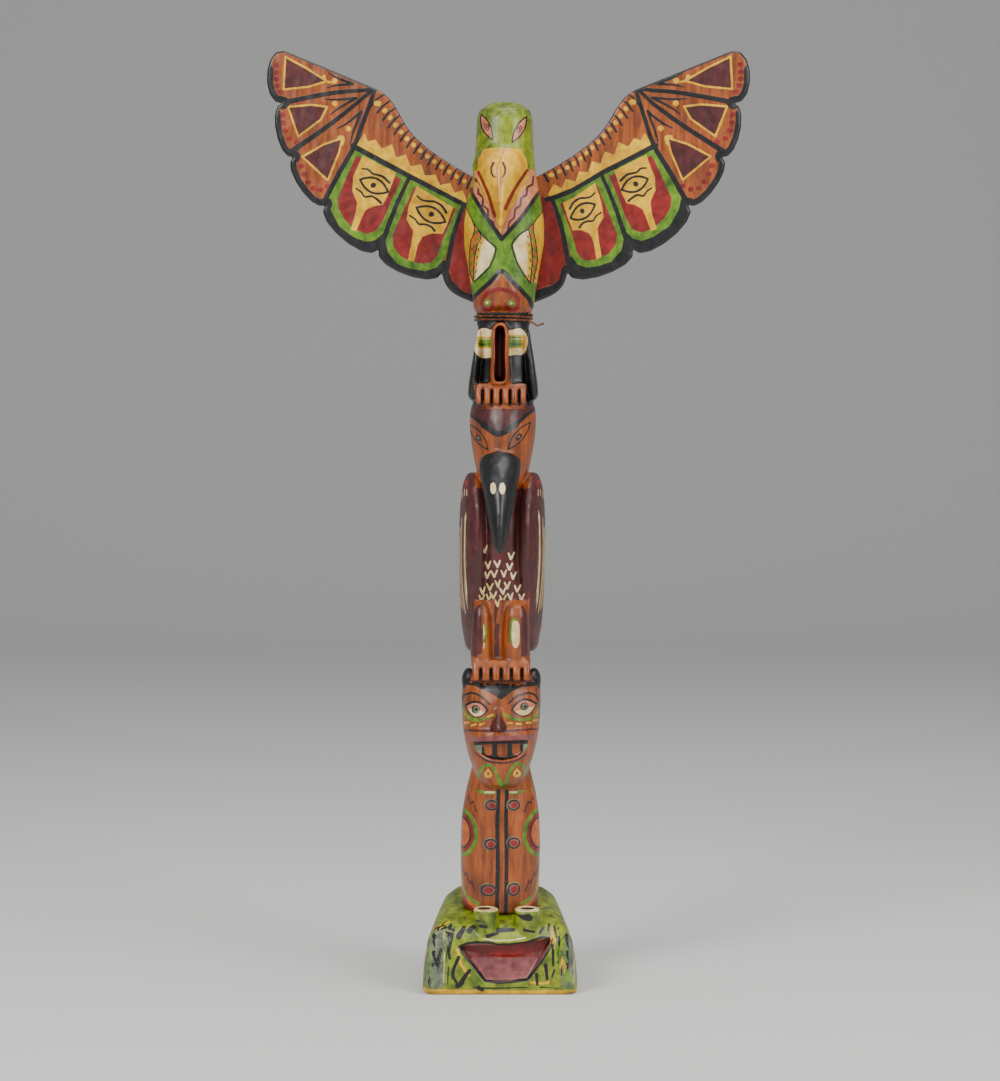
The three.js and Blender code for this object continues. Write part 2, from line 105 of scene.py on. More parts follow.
def normalsOf(points, triangles):
    a, b, c = (points[triangles[:, k]] for k in range(3))
    facing = np.cross(b - a, c - a)
    total = sum(spreadTo(len(points), triangles[:, k], facing) for k in range(3))
    return unit(total)


def edgesOf(triangles):
    pairs = np.sort(triangles[:, [0, 1, 1, 2, 2, 0]].reshape(-1, 2), axis=1)
    return np.unique(pairs, axis=0, return_inverse=True)


# Evens out the surface between creases, as sandpaper does, and leaves the creases.
def sand(points, triangles, rounds, creaseSharpness=0.12):
    edges, _ = edgesOf(triangles)
    one, other = edges[:, 0], edges[:, 1]
    count = len(points)
    for _ in range(rounds):
        normals = normalsOf(points, triangles)
        turn = 1 - (normals[one] * normals[other]).sum(1)
        weight = np.exp(-(turn / creaseSharpness) ** 2) + 0.02
        pull = (points[other] - points[one]) * weight[:, None]
        moved = spreadTo(count, one, pull) - spreadTo(count, other, pull)
        total = np.bincount(one, weight, count) + np.bincount(other, weight, count)
        points = points + 0.5 * moved / total[:, None]
    return points


# Splits the edges that are longer than wanted, so that the mesh is fine only near paint edges.
def splitLong(points, triangles, wanted):
    edges, place = edgesOf(triangles)
    place = place.reshape(-1, 3)
    length = np.linalg.norm(points[edges[:, 0]] - points[edges[:, 1]], axis=1)
    excess = length[place] / wanted[triangles].min(axis=1)[:, None]
    longest = place[np.arange(len(place)), np.argmax(length[place], axis=1)]
    long = np.zeros(len(edges), bool)
    long[longest[excess.max(axis=1) > 1]] = True
    middle = np.full(len(edges), -1)
    middle[long] = len(points) + np.arange(long.sum())
    added = points[edges[long]].mean(axis=1)
    cut = middle[place]
    howMany = (cut >= 0).sum(axis=1)
    out = [triangles[howMany == 0]]
    # One cut edge: turned so that it is the first.
    some = howMany == 1
    turn = np.argmax(cut[some] >= 0, axis=1)
    t, m = rolled(triangles[some], turn), rolled(cut[some], turn)
    out += [np.stack([t[:, 0], m[:, 0], t[:, 2]], 1), np.stack([m[:, 0], t[:, 1], t[:, 2]], 1)]
    # Two cut edges: turned so that the whole one is the last.
    some = howMany == 2
    turn = (np.argmax(cut[some] < 0, axis=1) + 1) % 3
    t, m = rolled(triangles[some], turn), rolled(cut[some], turn)
    out += [np.stack([m[:, 0], t[:, 1], m[:, 1]], 1), np.stack([t[:, 0], m[:, 0], m[:, 1]], 1),
            np.stack([t[:, 0], m[:, 1], t[:, 2]], 1)]
    some = howMany == 3
    t, m = triangles[some], cut[some]
    out += [np.stack([t[:, 0], m[:, 0], m[:, 2]], 1), np.stack([m[:, 0], t[:, 1], m[:, 1]], 1),
            np.stack([m[:, 2], m[:, 1], t[:, 2]], 1), m]
    return added, np.concatenate(out)


def rolled(rows, turn):
    return rows[np.arange(len(rows))[:, None], (turn[:, None] + np.arange(3)) % 3]


# Paint: distances from points to strokes and outlines
def smooth(points, steps=6):
    points = np.asarray(points, float)
    ends = np.concatenate([[2 * points[0] - points[1]], points, [2 * points[-1] - points[-2]]])
    t = np.linspace(0, 1, steps, endpoint=False)[:, None]
    out = []
    for a, b, c, d in zip(ends, ends[1:], ends[2:], ends[3:]):
        out.append(0.5 * (2 * b + (c - a) * t + (2 * a - 5 * b + 4 * c - d) * t ** 2
                          + (3 * b - a - 3 * c + d) * t ** 3))
    return np.concatenate(out + [points[-1:]])


def toSegment(at, a, b):
    along = b - a
    share = np.clip(((at - a) @ along) / max(along @ along, 1e-12), 0, 1)
    return np.linalg.norm(at - a - share[:, None] * along, axis=1), share


class Canvas:
    def __init__(self, across, up, allowed=None):
        self.at = np.stack([across, up], axis=1)
        self.allowed = np.ones(len(across), bool) if allowed is None else allowed
        self.layers = {name: np.full(len(across), farAway) for name in paintLayers}

    # The same paint seen through other coordinates or another mask
    def view(self, across=None, up=None, allowed=None):
        other = Canvas.__new__(Canvas)
        other.at = np.stack([self.at[:, 0] if across is None else across,
                             self.at[:, 1] if up is None else up], axis=1)
        other.allowed = self.allowed if allowed is None else allowed
        other.layers = self.layers
        return other

    def near(self, low, high, margin):
        inside = ((self.at > np.asarray(low) - margin) & (self.at < np.asarray(high) + margin)).all(axis=1)
        return np.nonzero(inside & self.allowed)[0]

    def lay(self, colour, which, distance):
        for name in paintLayers[paintLayers.index(colour) + 1:] if colour != "wood" else paintLayers:
            self.layers[name][which] = np.maximum(self.layers[name][which], -distance)
        if colour != "wood":
            self.layers[colour][which] = np.minimum(self.layers[colour][which], distance)

    def line(self, colour, points, width, end=None, curved=True):
        points = smooth(points) if curved and len(points) > 2 else np.asarray(points, float)
        end = width if end is None else end
        which = self.near(points.min(0), points.max(0), farAway + max(width, end))
        if not len(which):
            return
        at = self.at[which]
        best = np.full(len(at), 99.0)
        for i in range(len(points) - 1):
            distance, share = toSegment(at, points[i], points[i + 1])
            through = (i + share) / (len(points) - 1)
            best = np.minimum(best, distance - (width + (end - width) * through) / 2)
        self.lay(colour, which, best)

    def area(self, colour, points, curved=False, grow=0.0):
        points = np.asarray(points, float)
        if curved:
            points = smooth(np.concatenate([points, points[:1]]))[:-1]
        which = self.near(points.min(0), points.max(0), farAway)
        if not len(which):
            return
        at = self.at[which]
        best = np.full(len(at), 99.0)
        inside = np.zeros(len(at), bool)
        for a, b in zip(points, np.roll(points, -1, axis=0)):
            best = np.minimum(best, toSegment(at, a, b)[0])
            crosses = (a[1] > at[:, 1]) != (b[1] > at[:, 1])
            where = a[0] + (at[:, 1] - a[1]) / (b[1] - a[1] if b[1] != a[1] else 1e-9) * (b[0] - a[0])
            inside ^= crosses & (at[:, 0] < where)
        self.lay(colour, which, np.where(inside, -best, best) - grow)

    def oval(self, colour, centre, wide, high, turn=0.0, ring=None):
        centre = np.asarray(centre, float)
        reach = max(wide, high)
        which = self.near(centre - reach, centre + reach, farAway + (ring or 0))
        if not len(which):
            return
        c, s = math.cos(turn), math.sin(turn)
        local = (self.at[which] - centre) @ np.array([[c, -s], [s, c]])
        scaled = np.linalg.norm(local / [wide, high], axis=1)
        slope = np.linalg.norm(local / [wide ** 2, high ** 2], axis=1) / np.maximum(scaled, 1e-6)
        distance = (scaled - 1) / np.maximum(slope, 1e-6)
        self.lay(colour, which, np.abs(distance) - ring / 2 if ring else distance)

    # A leaf between two tips: up and down are how far its two edges bulge.
    def leaf(self, colour, a, b, up, down, ring=None):
        a, b = np.asarray(a, float), np.asarray(b, float)
        along = b - a
        side = np.array([-along[1], along[0]]) / np.linalg.norm(along)
        t = np.linspace(0, 1, 9)[:, None]
        bow = 4 * t * (1 - t)
        upper, lower = a + along * t + side * up * bow, a + along * t - side * down * bow
        if ring:
            self.line(colour, upper, ring, curved=False)
            self.line(colour, lower, ring, curved=False)
        else:
            self.area(colour, np.concatenate([upper, lower[-2:0:-1]]))


# Distance to the nearest edge that shows: one that no later colour covers
def nearness(layers):
    best = np.full(len(layers[paintLayers[-1]]), farAway)
    covered = np.full(len(best), farAway)
    for name in reversed(paintLayers):
        best = np.where(covered > -0.7, np.minimum(best, np.abs(layers[name])), best)
        covered = np.minimum(covered, layers[name])
    return best


# Makes a mesh fine where the paint has edges and paints it. onSurface puts new points on the dense surface.
def refineAndPaint(piece, paint, shape=None, finest=None):
    finest = finest or surface["finest"]
    points, triangles = pointsOf(piece.data), trianglesOf(piece.data)
    layers = paint(points)
    for _ in range(16):
        wanted = np.clip(finest + 0.95 * np.maximum(0, nearness(layers) - 0.45), finest,
                         surface["coarsest"])
        for slack in (1.3, 1.6, 2.0, 2.6, 3.4, 99.0):
            added, split = splitLong(points, triangles, wanted * slack)
            if len(split) <= surface["most"]:
                break
        if not len(added):
            break
        if shape is not None:
            added = np.array([shape(Vector(p)) for p in added])
        more = paint(added)
        layers = {name: np.concatenate([layers[name], more[name]]) for name in layers}
        points, triangles = np.concatenate([points, added]), split
    return points, triangles, layers


# How far a surface is hollow, above zero, or proud, below it, evened out over some rounds
def hollowness(points, triangles, rounds):
    edges, _ = edgesOf(triangles)
    one, other = edges[:, 0], edges[:, 1]
    normals = normalsOf(points, triangles)
    count = len(points)
    length = np.linalg.norm(points[other] - points[one], axis=1)
    rise = ((points[other] - points[one]) * normals[one]).sum(1) / length
    fall = ((points[one] - points[other]) * normals[other]).sum(1) / length
    share = np.bincount(one, minlength=count) + np.bincount(other, minlength=count)
    value = (np.bincount(one, rise, count) + np.bincount(other, fall, count)) / share
    kept = {}
    for step in range(max(rounds) + 1):
        if step in rounds:
            kept[step] = value
        value = (value + (np.bincount(one, value[other], count) + np.bincount(other, value[one],
                count)) / share) / 2
    return [kept[step] for step in rounds]


def finishMesh(piece, points, triangles, layers, values):
    mesh = bpy.data.meshes.new(piece.name)
    mesh.from_pydata((points * mm).tolist(), [], triangles.tolist())
    for name, numbers in {**layers, **values}.items():
        attribute = mesh.attributes.new(name, "FLOAT", "POINT")
        attribute.data.foreach_set("value", np.asarray(numbers, np.float32))
    mesh.polygons.foreach_set("use_smooth", np.ones(len(mesh.polygons), bool))
    old = piece.data
    piece.data = mesh
    bpy.data.meshes.remove(old)
    print(piece.name, "has", len(mesh.polygons), "triangles")




def carvedFromNode(node, name, paint, shape=None):
    piece = copyOfNode(node, name)
    applyModifier(piece, "REMESH", mode="VOXEL", voxel_size=carving["voxel"] * mm, adaptivity=0.0)
    points, triangles = pointsOf(piece.data), trianglesOf(piece.data)
    points = sand(points, triangles, carving["sanding"])
    if shape is not None:
        points = shape(points)
    fine, broad = hollowness(points, triangles, carving["hollowRounds"])
    mesh = bpy.data.meshes.new(name)
    mesh.from_pydata((points * mm).tolist(), [], triangles.tolist())
    piece.data = mesh
    tree = BVHTree.FromPolygons(points.tolist(), triangles.tolist())
    # The triangles near a paint edge stay small, and the others are merged.
    far = nearness(paint(points)) > surface["band"]
    free = piece.vertex_groups.new(name="free")
    free.add(np.nonzero(far)[0].tolist(), 1.0, "REPLACE")
    banded = int((~far)[triangles].any(axis=1).sum())
    applyModifier(piece, "DECIMATE", ratio=min(1.0, (banded + carving["keptTriangles"]) / len(triangles)),
                  vertex_group="free")
    print(name, "carved:", len(triangles), "to", len(piece.data.polygons), "with", banded,
          "near paint edges")

    def onSurface(point):
        return tuple(tree.find_nearest(point)[0])

    def shapeValues(at):
        index = triangles[[tree.find_nearest(Vector(p))[2] for p in at]]
        return {"edge": fine[index].mean(axis=1), "hollow": broad[index].mean(axis=1)}

    return piece, onSurface, shapeValues


# Wings. Across and up are millimetres on the left wing; the right one is drawn through a mirror.
wingPaint = {
    "borderWidth": 4.6,
    "ribWidth": 3.4,
    "yellowOutline": 1.4,
    "eyeOutline": 1.7,
    "tickCount": 15,
    "dotRadius": 2.1,
    "triangles": [
        [(-159, 669), (-160.3, 645.5), (-142, 647.5), (-129, 651.5), (-144, 661)],
        [(-157, 633), (-140, 634.5), (-128.5, 633), (-133, 624), (-149.5, 611.5)],
        [(-146.5, 597), (-131, 606), (-117.5, 610.5), (-120, 600), (-128, 580)],
    ],
    "forks": [
        [(-127.5, 657.5), (-110, 649.5), (-128.5, 647), (-123.3, 651.6)],
        [(-130.5, 638.8), (-107.5, 639.3), (-126, 627.5), (-123, 635.3)],
        [(-121, 617.5), (-104, 629.5), (-111.5, 607), (-113.2, 617.2)],
    ],
    "tipDots": [
        (-165.5, 663.2), (-165.8, 658), (-165.8, 653), (-164.8, 648.2), (-162.5, 643.7),
        (-160.8, 627.5), (-160.4, 621.6), (-159, 615.8), (-156, 610.2), (-150.5, 607.6),
        (-147.2, 590.4), (-145.1, 584.4), (-142.2, 578.9), (-138.6, 574.4), (-133.3, 573.4),
                (-128, 575.8),
    ],
    "upperEdge": [(-92.9, 646.1), (-85.6, 639.5), (-70.9, 619.1), (-63.6, 611.1), (-50.4, 600.2),
                  (-37.3, 590.7), (-21.9, 581.3)],
    "bandTop": [
        (-107, 606), (-101.5, 614), (-99, 608), (-93.5, 609.5), (-89, 603), (-81.5, 606), (-78.5, 596.5),
        (-71.5, 598.5), (-68, 590), (-60.5, 591.5), (-57.5, 583.5), (-49.5, 584), (-46.5, 576.5),
        (-39, 578), (-36, 571), (-30, 573), (-27, 565),
    ],
}

eyeFeathers = [
    {
        "green": [(-109.7, 602), (-70, 581.5), (-78, 565), (-83.5, 552), (-87.5, 542.5), (-93, 537.5),
                  (-100, 536),
                  (-109, 539.5), (-119, 547), (-125, 558), (-126, 567), (-119, 583)],
        "red": [(-107.5, 597.8), (-74.5, 581), (-81.5, 566), (-88, 550.5), (-93, 543.5), (-99.5, 541.5),
                (-108, 544.5), (-115.5, 551.5), (-120.2, 560), (-120.8, 567), (-114.5, 582)],
        "face": [(-103, 598), (-78.5, 585.5), (-84.5, 569), (-88, 562.5), (-95, 561.2), (-100.5, 558.5),
                 (-103, 553.5), (-107.3, 543.2), (-111.2, 544.6), (-107.8, 556), (-106.6, 564),
                         (-110, 572.5),
                 (-109.6, 582.5)],
        "eye": [(-104.6, 580.6), (-84.2, 571.8)],
        "waves": [[(-103.1, 588.4), (-99, 587.9), (-95.7, 585), (-92.3, 584), (-88, 582.7),
                   (-83.3, 578.3)],
                  [(-107.5, 574.2), (-103.7, 571.5), (-101, 568.2), (-96.3, 568.6), (-92.9, 566.8),
                   (-89.3, 563.8)]],
    },
    {
        "green": [(-66.5, 581), (-30, 560.5), (-36, 547), (-40.5, 536), (-43.5, 523.5), (-49, 517.5),
                  (-57, 515),
                  (-67, 516.5), (-77, 520), (-84, 528.5), (-86, 539.5), (-78, 557)],
        "red": [(-65, 575.5), (-35, 559.5), (-40.5, 546), (-45, 536), (-48.3, 525.5), (-52.5, 521),
                (-58.5, 519.8),
                (-67, 521.2), (-75, 525.2), (-80, 532), (-81, 540), (-74, 556)],
        "face": [(-63.5, 576), (-37, 560.5), (-41, 549), (-44.5, 541.5), (-52, 541.8), (-59, 539.5),
                 (-62.5, 533.5),
                 (-65.2, 521), (-69.6, 522.5), (-67, 535), (-65.8, 543.5), (-70.8, 551.5), (-69, 562)],
        "eye": [(-63.6, 560.4), (-42.6, 550)],
        "waves": [[(-63.2, 568.8), (-59.8, 566), (-55.1, 565), (-50.4, 564.6), (-45, 561.4),
                   (-42, 556.7)],
                  [(-68.6, 554.7), (-64.5, 552), (-61.8, 548.6), (-57.1, 548.2), (-53, 546.6),
                   (-50.3, 543.6)]],
    },
]


def along(points, share):
    points = np.asarray(points, float)
    lengths = np.concatenate([[0], np.cumsum(np.linalg.norm(np.diff(points, axis=0), axis=1))])
    return np.array([np.interp(np.asarray(share) * lengths[-1], lengths, points[:, k]) for k in (0, 1)]).T


# The edges of a board's front face, with the way each one faces
def boardOutline(node):
    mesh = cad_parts[node].data
    points = pointsOf(mesh)
    front = points[:, 1].min() + 0.05
    counts = {}
    for a, b, c in trianglesOf(mesh):
        if points[[a, b, c], 1].max() < front:
            for i, j in ((a, b), (b, c), (c, a)):
                key = frozenset((tuple(points[i].round(3)), tuple(points[j].round(3))))
                counts.setdefault(key, []).append((points[i, [0, 2]], points[j, [0, 2]]))
    return [found[0] for found in counts.values() if len(found) == 1]


def paintWing(side):
    outline = boardOutline("left_wing" if side < 0 else "right_wing")
    leaned = [(a - [carving["lean"] * (a[1] - carving["seat"]), 0],
               b - [carving["lean"] * (b[1] - carving["seat"]), 0]) for a, b in outline]

    def paint(points):
        x = points[:, 0] - carving["lean"] * (points[:, 2] - carving["seat"])
        y, z = points[:, 1], points[:, 2]
        if side < 0:
            canvas = Canvas(x, z)
        else:
            across = np.interp(x, [20, 35, 47.6, 70.5, 89.7, 106.8, 178],
                               [-19, -29.5, -42, -69, -89, -107.5, -172.5])
            canvas = Canvas(across, z - np.interp(x, [30, 50, 75, 107], [5, 2.5, 2, 0.3]))
        w = wingPaint
        canvas.area("red", [(-29.5, 559), (-36, 540), (-40, 520), (-37.5, 508), (-30, 500.5),
                            (-19, 494.5),
                            (0, 494), (0, 572), (-22, 566)])
        canvas.area("yellow", w["bandTop"] + [(-29, 562), (-69, 583), (-108, 603.5)])
        for i, feather in enumerate(eyeFeathers):
            canvas.area("green", feather["green"], grow=1.0)
            canvas.area("red", feather["red"])
            canvas.area("yellow", feather["face"])
            a, b = feather["eye"]
            canvas.leaf("black", a, b, 5.4, 5.2, ring=w["eyeOutline"])
            middle = (np.array(a) + b) / 2 + [-0.6 + i, 0.3]
            canvas.oval("black", middle, 2.1, 1.9, 0.4)
            for wave in feather["waves"]:
                canvas.line("black", wave, 1.3, 1.9)
        for triangle in w["triangles"]:
            canvas.area("maroon", triangle)
            canvas.line("yellow", triangle + triangle[:1], w["yellowOutline"], curved=False)
        canvas.line("yellow", [(-131, 655), (-129.5, 651.5), (-126, 650.5)], 2.4, 1.6)
        canvas.line("yellow", [(-120, 611), (-117, 610.8), (-117.5, 606)], 2.6, 2.0)
        for start, apex, end, dot in w["forks"]:
            bend = (np.array(start) + end) / 2 * 0.25 + np.array(apex) * 0.75
            canvas.line("black", [start, (np.array(start) + bend) / 2, apex], 0.9, 2.2)
            canvas.line("black", [end, (np.array(end) + bend) / 2, apex], 0.9, 2.2)
            canvas.oval("yellow", dot, 2.0, 2.0)
        for dot in w["tipDots"]:
            canvas.oval("red", dot, w["dotRadius"], w["dotRadius"] * 0.9)
        starts = along(w["upperEdge"], np.linspace(0.07, 0.985, w["tickCount"]))
        for i, start in enumerate(starts):
            share = i / (w["tickCount"] - 1)
            inward = np.array([-0.80 + 0.28 * share, -0.60 - 0.2 * share])
            length = 11.5 - 3.2 * share
            sag = np.array([0.25, -0.9]) * 1.6
            canvas.line("black", [start - inward * 2, start + inward * length * 0.5 - sag * 0.3,
                                  start + inward * length + sag * 0.7], 1.3, 1.7)
            if i < w["tickCount"] - 1:
                dot = (start + starts[i + 1]) / 2 + inward * (6.6 - 1.2 * share)
                canvas.oval("yellow", dot, 2.0 - 0.5 * share, 1.6, 0.7)
        canvas.oval("yellow", (-92.5, 635.5), 2.4, 2.0)
        rib = w["ribWidth"]
        canvas.line("black", [(-95, 645.5), (-125, 643), (-161, 636)], rib * 0.8, rib * 1.1)
        canvas.line("black", [(-96, 645), (-125, 621.5), (-158, 598.5)], rib * 0.8, rib * 1.15)
        canvas.line("black", [(-94, 646), (-101, 626), (-109, 604.5), (-120, 585), (-131, 564)],
                    rib * 0.9, rib * 1.1)
        canvas.line("black", [(-110, 605), (-69, 583.2), (-27, 561.5)], rib * 1.15, rib)
        canvas.line("black", [(-69, 582), (-79, 560), (-89, 533)], rib * 0.8, rib * 1.1)
        canvas.line("black", [(-29.5, 562), (-36.5, 541), (-42, 514)], rib * 0.9, rib * 1.1)
        # Everything outside the green of the eye feathers and the red of the inner lobe is black.
        canvas.area("black", [(-127, 566), (-125.4, 558), (-119.4, 546.6), (-109, 539), (-100, 535.6),
                              (-93, 537),
                              (-87.5, 542), (-86.4, 538), (-84.2, 528), (-77, 519.5), (-67, 516),
                                      (-57, 514.6),
                              (-49, 517), (-43.5, 523), (-41, 519), (-38, 508), (-30, 500), (-19, 494),
                                      (0, 493.5),
                              (0, 470), (-60, 480), (-150, 530), (-150, 566)])
        # Border along the scallops, and bare worn wood at the very edge
        at = np.stack([x, z], axis=1)
        fromScallop, fromTop = np.full(len(at), 99.0), np.full(len(at), 99.0)
        for a, b in leaned:
            distance = toSegment(at, a, b)[0]
            turn = b - a
            if -turn[0] > 0.25 * np.linalg.norm(turn) and min(a[1], b[1]) > 577:
                fromTop = np.minimum(fromTop, distance)
            elif abs(a[0]) > 20 or a[1] < 500:
                fromScallop = np.minimum(fromScallop, distance)
        everywhere = np.arange(len(at))
        canvas.lay("black", everywhere, fromScallop - w["borderWidth"])
        tipward = np.abs(x) > 93
        canvas.lay("black", everywhere[tipward], fromTop[tipward] - 1.5)
        canvas.lay("wood", everywhere[tipward], np.maximum(fromTop[tipward] - 0.6, 23.0 - y[tipward]))
        # The edge is black too, and the back is left as varnished wood.
        edge = np.nonzero(np.minimum(fromScallop, fromTop) < 0.5)[0]
        canvas.lay("black", edge[np.abs(y[edge] - 25.8) < 3.2],
                   np.full((np.abs(y[edge] - 25.8) < 3.2).sum(), -1.0))
        canvas.lay("wood", everywhere, 28.6 + 0.6 * np.sin(x * 0.31) * np.sin(z * 0.23) - y)
        return canvas.layers

    return paint


# Thunderbird
def paintThunderbird(canvas, x, y, z):
    high = z > 483
    bird = canvas.view(allowed=high)
    bird.area("olive", [(-60, 560), (60, 560), (60, 700), (-60, 700)])
    bird.area("green", [(-60, 470), (60, 470), (60, 566), (-60, 566)])
    # Panels of the breast, from the outside inwards
    for outer, middle, inner, panel in [
        ([(-27.6, 559), (-25.1, 553.4), (-21, 542.1), (-23.8, 531.9), (-24.8, 516.1), (-21.9, 504.8)],
         [(-21, 545), (-18.1, 540.4), (-16.4, 535.3), (-19.2, 529.7), (-21, 520.6), (-21.7, 507)],
         [(-18.1, 540.4), (-11.4, 533), (-5.7, 527.4), (-10.1, 514.9), (-20.8, 504.8)],
         [(-17.5, 539), (-11.2, 532.5), (-6.5, 527.3), (-10.6, 515.2), (-21, 505.5), (-20.5, 520.6),
          (-18.6, 529.7),
          (-16, 535.3)]),
        ([(27.4, 556), (26.4, 553.4), (20.8, 544.4), (22.6, 531.9), (23.8, 520.6), (21.1, 504.8)],
         [(20, 545), (17.5, 541.5), (19.2, 533), (20.5, 521.7), (18.8, 503.6)],
         [(17.5, 541.5), (11.2, 537.6), (5.6, 530.2), (9.1, 518.4), (13.7, 510.4), (18.8, 503.6)],
         [(17, 540.8), (11.4, 536.8), (6.4, 530), (9.7, 518.6), (14, 511), (18.4, 505), (19.6, 521.7),
          (18.4, 533)]),
    ]:
        side = -1 if outer[0][0] < 0 else 1
        bird.area("yellow", [(side * 40, 560)] + outer + [(side * 40, 500)])
        bird.area("orange", outer[1:] + middle[::-1])
        for i in range(6):
            at = along(middle, 0.16 + 0.145 * i)
            bird.line("green", [at + [side * 0.6, 1.8], at + [side * 3.4, -1.2]], 1.5, curved=False)
        bird.area("cream", panel)
        bird.area("yellow", [panel[4]] + [tuple(np.array(p) - [side * 2.6,
                0]) for p in panel[5:]] + panel[:-4:-1])
        bird.line("black", outer, 0.75)
        bird.line("black", middle, 0.7)
        bird.line("black", inner, 1.15)
        for i in range(6):
            at = along(middle, 0.22 + 0.13 * i) - [side * 1.7, 0]
            bird.line("red", [at, at + [side * 0.3, -1.6]], 1.1, 0.7)
    bird.area("pink", [(21.4, 592), (23.6, 584), (24, 575), (27.6, 563), (30, 556), (34, 540), (60, 540),
                       (60, 592)])
    bird.area("pink", [(-22.6, 585), (-24.4, 575), (-27.5, 565), (-40, 565), (-40, 585)])
    # Lower jaw with its dark zigzag, and the black line under it
    bird.area("pink", [(-21.6, 583), (-22.5, 567), (-14, 551), (-2, 535), (10, 549), (25, 567.5),
                       (22, 584),
                         (16, 584)])
    for jagged in [
        [(-20.6, 577), (-18.2, 572.5), (-18.6, 567), (-15, 563.5), (-15.4, 558), (-11.6, 555),
         (-11.4, 549),
         (-7.6, 546), (-6.2, 541)],
        [(20.6, 579), (20, 573.5), (16.2, 571), (15.8, 565.5), (12, 563), (11.2, 557.5), (7.6, 555),
         (7, 549),
         (3.6, 546), (2.6, 540.5)],
    ]:
        bird.line("maroon", jagged, 1.7, 1.2, curved=False)
    bird.line("black", [(-23.6, 571), (-22.3, 566), (-13, 550.5), (-1.7, 534)], 2.4, 3.0)
    bird.line("black", [(28, 574), (24.7, 568.2), (12, 549.5), (-1.7, 534)], 2.6, 3.0)
    # Beak
    bird.area("yellow", [(-14.6, 598), (11.4, 598), (15.5, 591), (17, 583), (17.5, 578.5), (10, 565),
                         (3.5, 554),
                         (-2.4, 537.5), (-6.5, 549), (-12, 562), (-18.6, 577), (-19.4, 583),
                                 (-18.5, 591)])
    bird.line("red", [(-18.6, 581.6), (-14.6, 573), (-10.6, 563), (-6.6, 549.5)], 2.0, 2.4)
    bird.line("red", [(16.4, 583.4), (11, 575), (5.6, 565.5), (0.8, 554.5)], 2.0, 2.6)
    bird.line("yellow", [(-19.6, 574.5), (-15, 565), (-10.8, 556)], 1.0)
    bird.line("yellow", [(17.5, 575), (10.5, 566), (5, 556.5)], 1.0)
    bird.line("maroon", [(-7.9, 587), (-9.3, 583), (-8.6, 578.6), (-6.6, 576.6)], 1.9, 1.0)
    bird.line("maroon", [(-1.2, 587), (0.4, 583), (0, 578.6), (-1.6, 576.6)], 1.9, 1.0)
    bird.line("orange", [(-0.2, 597.6), (-1.8, 592), (-3.8, 586)], 0.9)
    bird.line("orange", [(-5.3, 584), (-4.8, 568), (-3.5, 548)], 0.8, 0.5)
    bird.line("orange", [(-2.7, 584), (-2.7, 568), (-2.9, 550)], 0.8, 0.5)
    # Eyes
    for a, b, up, down in [((-17, 623.4), (-8.6, 604.2), 2.5, 3.1),
                           ((15.5, 621.5), (5.2, 602.2), 3.1, 2.5)]:
        middle = (np.array(a) + b) / 2
        turn = math.atan2(a[1] - b[1], a[0] - b[0]) - math.pi / 2
        bird.leaf("pink", a, b, up, down)
        bird.leaf("black", a, b, up, down, ring=1.0)
        bird.oval("black", middle, 1.7, 2.9, turn)
        bird.oval("pink", middle, 1.0, 2.1, turn)
        bird.oval("black", middle, 0.45, 1.2, turn)
    # Apron over the wire
    bird.area("wood", [(-60, 470), (-60, 484.5), (-20.7, 493.5), (-1.6, 509.8), (17.8, 491.5), (22, 485),
                       (24, 470)])
    bird.line("black", [(-23, 492.5), (-20.7, 494.6), (-9, 504.5), (-1.6, 511.6), (7, 503.5),
                        (17.8, 492.6),
                        (20, 488)], 3.3, 3.3)
    bird.line("red", [(-8.2, 488.6), (-8.4, 485.8), (-12, 483.9), (-15, 487), (-14.2, 492.5),
                      (-10.4, 496.6),
                      (-2.6, 498.7), (5.6, 496.6), (9.6, 492.5), (10.2, 487), (7.4, 483.8), (3.2, 485.2),
                      (1.4, 488.4)], 3.0)
    for middle in [(-11.8, 489.4), (5.4, 488.8)]:
        bird.oval("green", middle, 2.5, 2.5)
        bird.oval("cream", middle, 0.9, 0.9)
    bird.lay("wood", np.arange(len(x)), np.where(high & (z < 575),
                                                 15 + np.sin(z * 0.3) + np.sin(z * 0.83) * 0.5 - y,
                                                 farAway))


# Dark gaps between the toes
def slots(canvas, left, right, low, high):
    pitch = (right - left + 1.9) / 6
    for i in range(1, 6):
        middle = left + i * pitch - 0.95
        canvas.area("black", [(middle - 1.05, low), (middle + 1.05, low), (middle + 1.0, high),
                              (middle - 0.9, high)])


